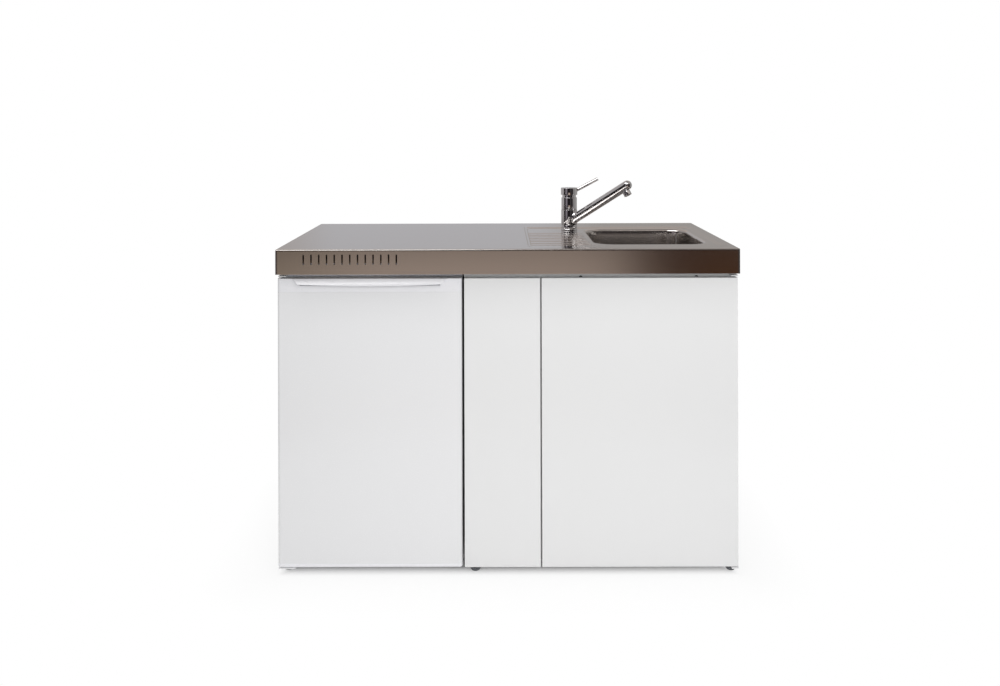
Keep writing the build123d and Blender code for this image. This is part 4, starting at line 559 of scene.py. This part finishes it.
def with_soft_edges(name, edge):
    """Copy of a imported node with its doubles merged, flat faces joined, and its sharp edges rounded by a small
    radius, as folding, moulding and lacquer leave them. The radius is halved, or given up, where it would leave the
    node's box, change what it encloses or spoil the shading of a face."""
    node = nodes[name]
    low, high = (np.array(c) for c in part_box(name))
    for width in (edge, edge / 2, edge / 4, 0.0):
        body = bmesh.new()
        body.from_mesh(node.data)
        bmesh.ops.remove_doubles(body, verts=body.verts, dist=0.01 * MM)
        held = body.calc_volume()
        if width:
            bmesh.ops.dissolve_limit(body, angle_limit=math.radians(0.5), verts=body.verts, edges=body.edges)
            keen = [e for e in body.edges if len(e.link_faces) == 2 and e.calc_face_angle(0) > math.radians(KEEN_FROM)]
            bmesh.ops.bevel(body, geom=keen, offset=width, segments=2, profile=0.5, affect="EDGES",
                            clamp_overlap=True)
            bmesh.ops.dissolve_degenerate(body, edges=body.edges, dist=0.02 * MM)
            bmesh.ops.triangulate(body, faces=[f for f in body.faces if len(f.verts) > 4])
            bmesh.ops.dissolve_degenerate(body, edges=body.edges, dist=0.005 * MM)
        places = np.array([v.co[:] for v in body.verts])
        inside = (places.min(axis=0) > low - BOX_SLACK).all() and (places.max(axis=0) < high + BOX_SLACK).all()
        holds = inside and abs(body.calc_volume() / held - 1) < VOLUME_SLACK
        mesh = bpy.data.meshes.new(name + "_finished")
        body.to_mesh(mesh)
        body.free()
        mesh.shade_smooth()
        mesh.set_sharp_from_angle(angle=math.radians(KEEN_FROM))
        if not width or (holds and worst_lean(mesh) > LEAN_LIMIT):
            break
        bpy.data.meshes.remove(mesh)
    return placed(name + "_finished", mesh)


# Materials

def srgb(code):
    """Linear colour of an sRGB hex value."""
    parts = [int(code[i:i + 2], 16) / 255 for i in (0, 2, 4)]
    return tuple(c / 12.92 if c <= 0.04045 else ((c + 0.055) / 1.055) ** 2.4 for c in parts) + (1.0,)


def add(tree, kind, sockets=None, **settings):
    """Add a node, set its settings, and set or link its input sockets."""
    node = tree.nodes.new(kind)
    for key, value in settings.items():
        setattr(node, key, value)
    for key, value in (sockets or {}).items():
        if isinstance(value, bpy.types.NodeSocket):
            tree.links.new(value, node.inputs[key])
        else:
            node.inputs[key].default_value = value
    return node


def new_material(name, color, roughness, metallic=0.0, **more):
    """Material with a plain shader. Returns it with its tree and its shader."""
    made = bpy.data.materials.new(name)
    made.use_nodes = True
    tree = made.node_tree
    shader = tree.nodes["Principled BSDF"]
    shader.inputs["Base Color"].default_value = srgb(color)
    shader.inputs["Roughness"].default_value = roughness
    shader.inputs["Metallic"].default_value = metallic
    for key, value in more.items():
        shader.inputs[key.replace("_", " ").title().replace("Ior", "IOR")].default_value = value
    return made, tree, shader


def pattern(tree, size, stretch=(1, 1, 1), detail=2.0, kind="ShaderNodeTexNoise", turn=(0, 0, 0)):
    """Noise on Object coordinates whose grains are about size metres across, drawn out by stretch."""
    place = add(tree, "ShaderNodeTexCoord").outputs["Object"]
    scaled = add(tree, "ShaderNodeMapping", {
        "Vector": place, "Scale": tuple(1 / (size * s) for s in stretch), "Rotation": turn,
    }).outputs["Vector"]
    return add(tree, kind, {"Vector": scaled, "Scale": 1.0, "Detail": detail}).outputs[0]


def vary(tree, shader, source, color=None, roughness=None, bump=None):
    """Lead a pattern into the shader: two colours, a span of roughness, or a height in metres."""
    if color:
        ramp = add(tree, "ShaderNodeMix", {0: source, 6: srgb(color[0]), 7: srgb(color[1])}, data_type="RGBA")
        tree.links.new(ramp.outputs[2], shader.inputs["Base Color"])
    if roughness:
        span = add(tree, "ShaderNodeMapRange", {"Value": source, "To Min": roughness[0], "To Max": roughness[1]})
        tree.links.new(span.outputs["Result"], shader.inputs["Roughness"])
    if bump:
        height = add(tree, "ShaderNodeBump", {"Height": source, "Distance": bump, "Strength": 1.0})
        tree.links.new(height.outputs["Normal"], shader.inputs["Normal"])


def paint(things, material):
    """Give objects one material in every slot."""
    for thing in things:
        thing.data.materials.clear()
        thing.data.materials.append(material)


def brushed_stainless():
    """Austenitic stainless sheet, ground along its length: a long soft sheen with fine streaks. The streaks are
    drawn 1 mm wide, coarser than the real tenth of a millimetre, so that they show."""
    made, tree, shader = new_material("brushed_stainless", "C8C4C1", 0.15, 1.0)
    vary(tree, shader, pattern(tree, 1.0 * MM, (60, 1, 1), 3.0), color=("C3BFBC", "CDC9C6"), roughness=(0.12, 0.18),
         bump=0.004 * MM)
    return made


def polished_chrome():
    """Chromium plate on brass, mirror polished: hard dark and light bands, with faint wiping marks."""
    made, tree, shader = new_material("polished_chrome", "DADADC", 0.05, 1.0)
    vary(tree, shader, pattern(tree, 6 * MM, (1, 1, 1), 3.0), roughness=(0.035, 0.07))
    return made


def powder_coat():
    """Polyester powder coat on sheet steel, baked: a satin white with the faint swell of orange peel."""
    made, tree, shader = new_material("powder_coat", "E5E5E5", 0.34)
    vary(tree, shader, pattern(tree, 2.2 * MM, detail=1.0), roughness=(0.30, 0.38), bump=0.006 * MM)
    return made


def fridge_lacquer():
    """Stoved white lacquer on the refrigerator's steel: glossier than the cabinet, very slightly bluish."""
    made, tree, shader = new_material("fridge_lacquer", "E6E6E7", 0.26)
    vary(tree, shader, pattern(tree, 3.0 * MM, detail=1.0), roughness=(0.22, 0.30), bump=0.005 * MM)
    return made


def moulded_white():
    """Vacuum formed and moulded polystyrene: bright white with a soft gloss."""
    made, tree, shader = new_material("moulded_polystyrene", "F2F2F8", 0.3)
    vary(tree, shader, pattern(tree, 4.0 * MM, detail=2.0), roughness=(0.25, 0.36), bump=0.004 * MM)
    return made


def cap_moulding():
    """Moulded polystyrene of the refrigerator door's end caps, toned to its lacquer."""
    made, tree, shader = new_material("cap_moulding", "E8E8EB", 0.28)
    vary(tree, shader, pattern(tree, 4.0 * MM, detail=2.0), roughness=(0.24, 0.34), bump=0.004 * MM)
    return made


def grey_polyamide():
    """Glass filled polyamide of the feet and the catch: matt dark grey with a fine moulded grain."""
    made, tree, shader = new_material("grey_polyamide", "5A5C60", 0.6)
    vary(tree, shader, pattern(tree, 0.8 * MM, detail=3.0), color=("54565A", "606266"), roughness=(0.5, 0.7),
         bump=0.03 * MM)
    return made


def black_polyamide():
    """Black feet of the refrigerator."""
    made, tree, shader = new_material("black_polyamide", "1E1E20", 0.55)
    vary(tree, shader, pattern(tree, 0.8 * MM, detail=3.0), roughness=(0.45, 0.65), bump=0.03 * MM)
    return made


def zinc_plate():
    """Bright zinc plate on steel: cool grey with a cloudy sheen."""
    made, tree, shader = new_material("zinc_plate", "B9BCC0", 0.32, 1.0)
    vary(tree, shader, pattern(tree, 7 * MM, detail=3.0), color=("AEB2B7", "C2C5C8"), roughness=(0.24, 0.42))
    return made


def galvanised_sheet():
    """Hot dip galvanised sheet of the refrigerator's back: a spangle of pale and dark grey crystals 8 mm across."""
    made, tree, shader = new_material("galvanised_sheet", "A7ABAE", 0.4, 1.0)
    flakes = pattern(tree, 8 * MM, kind="ShaderNodeTexVoronoi", detail=0.0)
    vary(tree, shader, flakes, color=("9A9EA2", "B4B8BA"), roughness=(0.32, 0.5))
    return made


def black_enamel():
    """Black paint on the compressor and the condenser wires."""
    made, tree, shader = new_material("black_enamel", "17181A", 0.38)
    vary(tree, shader, pattern(tree, 2.5 * MM, detail=2.0), roughness=(0.3, 0.48), bump=0.02 * MM)
    return made


def rolled_aluminium():
    """Rolled aluminium of the ice compartment: pale metal with a faint grain along X."""
    made, tree, shader = new_material("rolled_aluminium", "D2D4D6", 0.34, 1.0)
    vary(tree, shader, pattern(tree, 1.2 * MM, (40, 1, 1), 2.0), roughness=(0.28, 0.42), bump=0.003 * MM)
    return made


def clear_polystyrene():
    """Injection moulded clear polystyrene of the crisper and the racks, faintly blue and slightly hazy."""
    made, tree, shader = new_material("clear_polystyrene", "DCE9EE", 0.12, ior=1.57, transmission_weight=0.85)
    vary(tree, shader, pattern(tree, 5 * MM), roughness=(0.08, 0.2))
    return made


def shelf_glass():
    """Toughened float glass: clear with green in its edges."""
    made, tree, shader = new_material("float_glass", "D6EBE2", 0.04, ior=1.52, transmission_weight=0.95)
    vary(tree, shader, pattern(tree, 30 * MM), roughness=(0.02, 0.06))
    return made


def seal_rubber():
    """Soft magnetic vinyl seal: warm light grey and matt."""
    made, tree, shader = new_material("vinyl_seal", "C9CACB", 0.62)
    vary(tree, shader, pattern(tree, 2 * MM, detail=2.0), roughness=(0.55, 0.7), bump=0.01 * MM)
    return made


def black_rubber():
    """Black rubber of the pads and buffers."""
    made, tree, shader = new_material("black_rubber", "202022", 0.75)
    vary(tree, shader, pattern(tree, 1.2 * MM, detail=3.0), roughness=(0.65, 0.85), bump=0.03 * MM)
    return made


def birch_board():
    """Raw chipboard of light wood chips under the sheet, 3 mm chips."""
    made, tree, shader = new_material("chipboard", "B08F63", 0.8)
    chips = pattern(tree, 3 * MM, (2, 1, 1), kind="ShaderNodeTexVoronoi", detail=0.0)
    vary(tree, shader, chips, color=("9C7B50", "C4A679"), bump=0.05 * MM)
    return made


def drawn_copper():
    """Drawn copper tube and brass nut of the tap, slightly tarnished."""
    made, tree, shader = new_material("drawn_copper", "C98D66", 0.28, 1.0)
    vary(tree, shader, pattern(tree, 9 * MM, (1, 1, 3), 3.0), color=("B97B55", "D19A74"), roughness=(0.22, 0.4))
    return made


def oxide_ceramic():
    """White ceramic discs and body of the cartridge."""
    made, tree, shader = new_material("oxide_ceramic", "DEDCD4", 0.3)
    vary(tree, shader, pattern(tree, 1.5 * MM), roughness=(0.25, 0.36))
    return made


def white_nylon():
    """Turned nylon of the hinge bushes."""
    made, tree, shader = new_material("white_nylon", "DCDCD6", 0.45)
    vary(tree, shader, pattern(tree, 1.0 * MM, (1, 1, 0.3)), roughness=(0.4, 0.55), bump=0.01 * MM)
    return made


FINISHES = (
    (brushed_stainless, "worktop sink_bowl waste_fitting strainer_basket"),
    (polished_chrome, "tap_base_ring tap_body spout aerator lever_cap lever_pin"),
    (oxide_ceramic, "cartridge_spindle"),
    (birch_board, "core_board"),
    (powder_coat, "cabinet_sides cabinet_floor cabinet_back cabinet_rails partition shelf door_outer_pan"
     " door_inner_pan pullout_outer_pan pullout_inner_pan pullout_trays"),
    (fridge_lacquer, "fridge_shell fridge_door_skin hinge_brackets"),
    (cap_moulding, "fridge_door_top_cap fridge_door_bottom_cap"),
    (moulded_white, "fridge_liner fridge_door_liner freezer_flap thermostat_housing thermostat_knob overflow"
     " waste_trap"),
    (white_nylon, "door_bushes"),
    (clear_polystyrene, "crisper_drawer door_racks"),
    (shelf_glass, "glass_shelves"),
    (zinc_plate, "support_rails slide_outer_rails slide_middle_rails slide_inner_rails pullout_frame hinge_pins"
     " strike_plate shelf_pins foot_screws lever_pivot_pin"),
    (galvanised_sheet, "fridge_rear_panels"),
    (black_enamel, "compressor condenser"),
    (rolled_aluminium, "freezer_box"),
    (grey_polyamide, "cabinet_feet magnet_catch"),
    (black_polyamide, "fridge_feet"),
    (black_rubber, "rubber_pads"),
    (seal_rubber, "fridge_door_gasket"),
    (drawn_copper, "tap_fixings"),
)
materials = {}
for maker, names in FINISHES:
    materials[maker.__name__] = maker()
    paint([nodes[n] for n in names.split()], materials[maker.__name__])

DRAWN = (
    (make_worktop, "brushed_stainless", "stainless", "unit", ("worktop", "sink_bowl")),
    (make_tap_ring, "polished_chrome", "chrome", "unit", ("tap_base_ring",)),
    (make_tap_body, "polished_chrome", "chrome", "unit", ("tap_body",)),
    (make_spout, "polished_chrome", "chrome", "tap_spout", ("spout",)),
    (make_aerator, "polished_chrome", "chrome", "tap_spout", ("aerator",)),
    (make_lever_cap, "polished_chrome", "chrome", "lever", ("lever_cap",)),
    (make_lever, "polished_chrome", "chrome", "lever", ("lever_pin",)),
)
for maker, finish, slot, body, replaced in DRAWN:
    piece = maker()
    paint([piece], materials[finish])
    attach(piece, body)
    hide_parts(*replaced)

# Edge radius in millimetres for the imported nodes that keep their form
SOFT_EDGES = (
    (1.2, "fridge_door_top_cap freezer_flap thermostat_housing"),
    (0.8, "fridge_door_bottom_cap door_outer_pan pullout_outer_pan fridge_shell fridge_liner fridge_door_liner"
     " thermostat_knob cabinet_feet fridge_feet crisper_drawer door_racks compressor"),
    (0.5, "fridge_door_skin door_inner_pan pullout_inner_pan cabinet_sides cabinet_floor cabinet_back cabinet_rails"
     " partition shelf pullout_trays fridge_door_gasket glass_shelves waste_fitting strainer_basket waste_trap"
     " overflow magnet_catch support_rails freezer_box core_board hinge_brackets"),
    (0.3, "slide_outer_rails slide_middle_rails slide_inner_rails pullout_frame strike_plate shelf_pins hinge_pins"
     " door_bushes rubber_pads cartridge_spindle tap_fixings foot_screws fridge_rear_panels"),
)
finish_of = {n: maker.__name__ for maker, names in FINISHES for n in names.split()}
body_of = {n: b for b, members in frame["record"]["behaviour"]["bodies"].items() for n in members}
for edge, names in SOFT_EDGES:
    for name in names.split():
        piece = with_soft_edges(name, edge * MM)
        paint([piece], materials[finish_of[name]])
        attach(piece, body_of[name])
        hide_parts(name)


# Studio

def make_camera():
    """Camera in front of the unit that looks down while its picture stays upright, as a shift lens does, so uprights
    stay parallel. The tilt is a shear kept on its mount: a view from elsewhere takes the camera off the mount."""
    drop = (MIDDLE_ROW - HORIZON) / FOCAL
    slant = math.sqrt(1 + drop ** 2)
    lens = bpy.data.cameras.new("camera")
    lens.sensor_width = SENSOR
    lens.lens = SENSOR * FOCAL / PICTURE_WIDTH * slant
    lens.clip_start = 0.05
    sine, cosine = math.sin(CAMERA_ROLL), math.cos(CAMERA_ROLL)
    across = (cosine, 0, -sine)
    up = (sine, 0, cosine)
    back = (drop * sine / slant, -1 / slant, drop * cosine / slant)
    thing = placed("camera", lens)
    thing.parent = placed("camera_mount", None)
    thing.matrix_parent_inverse = Matrix([*zip(across, up, back, CAMERA_PLACE), (0, 0, 0, 1)])
    bpy.context.scene.camera = thing


# Floor: its rings, half the unit's footprint, and how the plain white sets in round the footprint's edge; inside the
# edge the white gives way to painted shade under the unit
FLOOR_RINGS = (0.0001, 0.7, 1.4)
FOOTPRINT_HALF = (0.598, 0.280)
PAINTED_SHADE_BLUR, EDGE_SHARE, SHADOW_REACH = 0.045, 0.86, 0.20


def make_floor():
    """Round pale floor. It shows white, darkened under the unit by the unit's real shadow and by painted shade: the
    share of its colour that is plain white grows from the middle of the unit's footprint to a hand's width outside it,
    so the floor under the unit is painted darker even where no shadow falls."""
    turn = np.linspace(0, 2 * math.pi, 97)[:-1]
    rings = [np.column_stack([r * np.cos(turn), r * np.sin(turn), np.zeros(96)]) for r in FLOOR_RINGS]
    floor = mesh_of("floor", np.concatenate(rings), grid_faces(3, 96, close=True))
    made, tree, shader = new_material("pale_floor", "F2F2F2", 0.9)
    place = add(tree, "ShaderNodeTexCoord").outputs["Object"]
    away = add(tree, "ShaderNodeVectorMath", {0: place}, operation="ABSOLUTE").outputs[0]
    away = add(tree, "ShaderNodeVectorMath", {0: away, 1: (*FOOTPRINT_HALF, 0)}, operation="SUBTRACT").outputs[0]
    outside = add(tree, "ShaderNodeVectorMath", {0: away, 1: (0, 0, 0)}, operation="MAXIMUM").outputs[0]
    outside = add(tree, "ShaderNodeVectorMath", {0: outside}, operation="LENGTH").outputs["Value"]
    parts = add(tree, "ShaderNodeSeparateXYZ", {0: away})
    inside = add(tree, "ShaderNodeMath", {0: parts.outputs[0], 1: parts.outputs[1]}, operation="MAXIMUM").outputs[0]
    # Painted shade: deep inside the footprint only 0.04 of the floor is plain white. This darkens the floor under the
    # unit over and above the real shadow that its pale part catches.
    under = add(tree, "ShaderNodeMapRange", {
        "Value": inside, "From Min": -PAINTED_SHADE_BLUR, "From Max": 0.0, "To Min": 0.04, "To Max": EDGE_SHARE,
    })
    beyond = add(tree, "ShaderNodeMapRange", {
        "Value": outside, "From Min": 0.0, "From Max": SHADOW_REACH, "To Min": 0.0, "To Max": 1 - EDGE_SHARE,
    })
    glow_share = add(tree, "ShaderNodeMath", {0: under.outputs[0], 1: beyond.outputs[0]}, operation="ADD").outputs[0]
    path = add(tree, "ShaderNodeLightPath")
    seen = add(tree, "ShaderNodeMath", {0: path.outputs["Is Camera Ray"], 1: path.outputs["Is Glossy Ray"]},
               operation="MAXIMUM")
    seen = add(tree, "ShaderNodeMath", {0: seen.outputs[0], 1: path.outputs["Is Transmission Ray"]},
               operation="MAXIMUM")
    share = add(tree, "ShaderNodeMath", {0: seen.outputs[0], 1: glow_share}, operation="MULTIPLY")
    glow = add(tree, "ShaderNodeEmission", {"Color": (1, 1, 1, 1), "Strength": 1.0})
    mixed = add(tree, "ShaderNodeMixShader", {0: share.outputs[0], 1: shader.outputs[0], 2: glow.outputs[0]})
    tree.links.new(mixed.outputs[0], tree.nodes["Material Output"].inputs["Surface"])
    paint([floor], made)


# What the mirrors see, in linear light
BACKDROP, BACKDROP_RIGHT, BACKDROP_LEFT = (0.52, 0.52, 0.545), (0.385, 0.368, 0.355), (0.46, 0.435, 0.43)
BACKDROP_TOP = (0.60, 0.525, 0.485)
GROUND, GROUND_LEFT = (0.52, 0.422, 0.36), (0.39, 0.315, 0.25)
FURNITURE, FURNITURE_END = (0.041, 0.0115, 0.0015), (0.090, 0.030, 0.002)
ROOM, ROOM_RIGHT = (0.018, 0.014, 0.016), (0.07, 0.065, 0.065)
WINDOW, SIDE_WALL = (0.24, 0.215, 0.235), (0.28, 0.27, 0.26)
NEAR_FLOOR, CEILING, ZENITH = (0.30, 0.26, 0.24), (0.60, 0.54, 0.50), (0.26, 0.25, 0.25)
SOFT_BOX = (5.2, 5.1, 5.0)
EVEN_LIGHT, WHITE = (0.52, 0.52, 0.52), (1, 1, 1)


def make_world():
    """Studio as seen from the unit, by direction: side, depth and rise are the three parts of a ray's unit vector.
    The camera sees white, and dull surfaces get an even light. Mirrors see a pale backdrop behind the unit, warmer
    higher up. In front of it they see a lit brown floor with dark furniture at the right, a dark room above that with
    a paler window at the left and a pale side wall at the right, a pale ceiling with a soft box in it at the left, and
    a grey zenith."""
    world = bpy.data.worlds.new("studio")
    bpy.context.scene.world = world
    world.use_nodes = True
    tree = world.node_tree
    for node in list(tree.nodes):
        tree.nodes.remove(node)
    way = add(tree, "ShaderNodeTexCoord").outputs["Generated"]
    parts = add(tree, "ShaderNodeSeparateXYZ", {0: way})
    side, depth, rise = parts.outputs

    def between(value, low, high):
        """0 at low and 1 at high, eased."""
        return add(tree, "ShaderNodeMapRange", {"Value": value, "From Min": low, "From Max": high},
                   interpolation_type="SMOOTHSTEP").outputs["Result"]

    def mix(factor, a, b):
        """Blend of two colours."""
        node = add(tree, "ShaderNodeMix", {0: factor}, data_type="RGBA")
        for socket, value in ((node.inputs[6], a), (node.inputs[7], b)):
            if isinstance(value, bpy.types.NodeSocket):
                tree.links.new(value, socket)
            else:
                socket.default_value = (*value, 1)
        return node.outputs[2]

    def both(a, b):
        """Product of two factors."""
        return add(tree, "ShaderNodeMath", {0: a, 1: b}, operation="MULTIPLY").outputs[0]

    def band(value, low, high, blur):
        """1 between low and high and 0 outside, eased over a blur."""
        return both(between(value, low - blur, low + blur), between(value, high + blur, high - blur))

    backdrop = mix(between(side, 0.03, 0.12), BACKDROP, BACKDROP_RIGHT)
    backdrop = mix(between(side, -0.17, -0.24), backdrop, BACKDROP_LEFT)
    backdrop = mix(both(between(rise, 0.20, 0.30), band(side, -0.42, 0.42, 0.06)), backdrop, BACKDROP_TOP)
    ground = mix(between(side, 0.123, 0.159), GROUND, FURNITURE)
    ground = mix(between(side, 0.19, 0.24), ground, FURNITURE_END)
    ground = mix(between(side, -0.14, -0.23), ground, GROUND_LEFT)
    room = mix(both(band(side, -0.84, -0.50, 0.04), band(rise, -0.20, 0.20, 0.04)), ROOM, WINDOW)
    room = mix(band(side, 0.24, 0.48, 0.05), room, ROOM_RIGHT)
    room = mix(between(side, 0.84, 0.90), room, SIDE_WALL)
    far = both(between(side, -0.34, -0.26), between(side, 0.34, 0.26))
    front = mix(both(between(rise, -0.116, -0.132), far), room, ground)
    front = mix(between(rise, -0.50, -0.60), front, NEAR_FLOOR)
    front = mix(between(rise, 0.50, 0.58), front, CEILING)
    front = mix(both(band(rise, 0.58, 0.84, 0.04), between(side, 0.06, -0.06)), front, SOFT_BOX)
    seen = mix(between(depth, -0.05, -0.15), backdrop, front)
    seen = mix(between(rise, 0.84, 0.90), seen, ZENITH)
    path = add(tree, "ShaderNodeLightPath")
    lit = mix(path.outputs["Is Glossy Ray"], EVEN_LIGHT, seen)
    clear = add(tree, "ShaderNodeMath", {0: path.outputs["Is Camera Ray"], 1: path.outputs["Is Transmission Ray"]},
                operation="MAXIMUM").outputs[0]
    shown = mix(clear, lit, WHITE)
    sky = add(tree, "ShaderNodeBackground", {"Color": shown, "Strength": 1.0})
    out = add(tree, "ShaderNodeOutputWorld", {"Surface": sky.outputs[0]})
    tree.nodes.active = out


def make_lamp(name, place, aim, size, power):
    """Square soft box at a place, aimed at a point. Mirrors see the soft boxes of the world instead of it."""
    light = bpy.data.lights.new(name, "AREA")
    light.shape, light.size, light.energy = "SQUARE", size, power
    thing = placed(name, light)
    thing.location = place
    direction = np.array(aim, float) - np.array(place, float)
    flat = math.hypot(direction[0], direction[1])
    thing.rotation_euler = (math.atan2(flat, -direction[2]), 0, math.atan2(direction[1], direction[0]) - math.pi / 2)
    thing.visible_glossy = False


make_camera()
make_floor()
make_world()
make_lamp("front_box", (1.2, -2.9, 2.3), (0.1, 0, 0.6), 1.6, 31)
make_lamp("top_box", (-0.3, -0.4, 3.2), (0, 0, 0.8), 1.8, 30)
make_lamp("level_fill", (0.3, -3.4, 0.85), (0, 0, 0.75), 0.8, 17)
bpy.context.scene.view_settings.view_transform = "Standard"
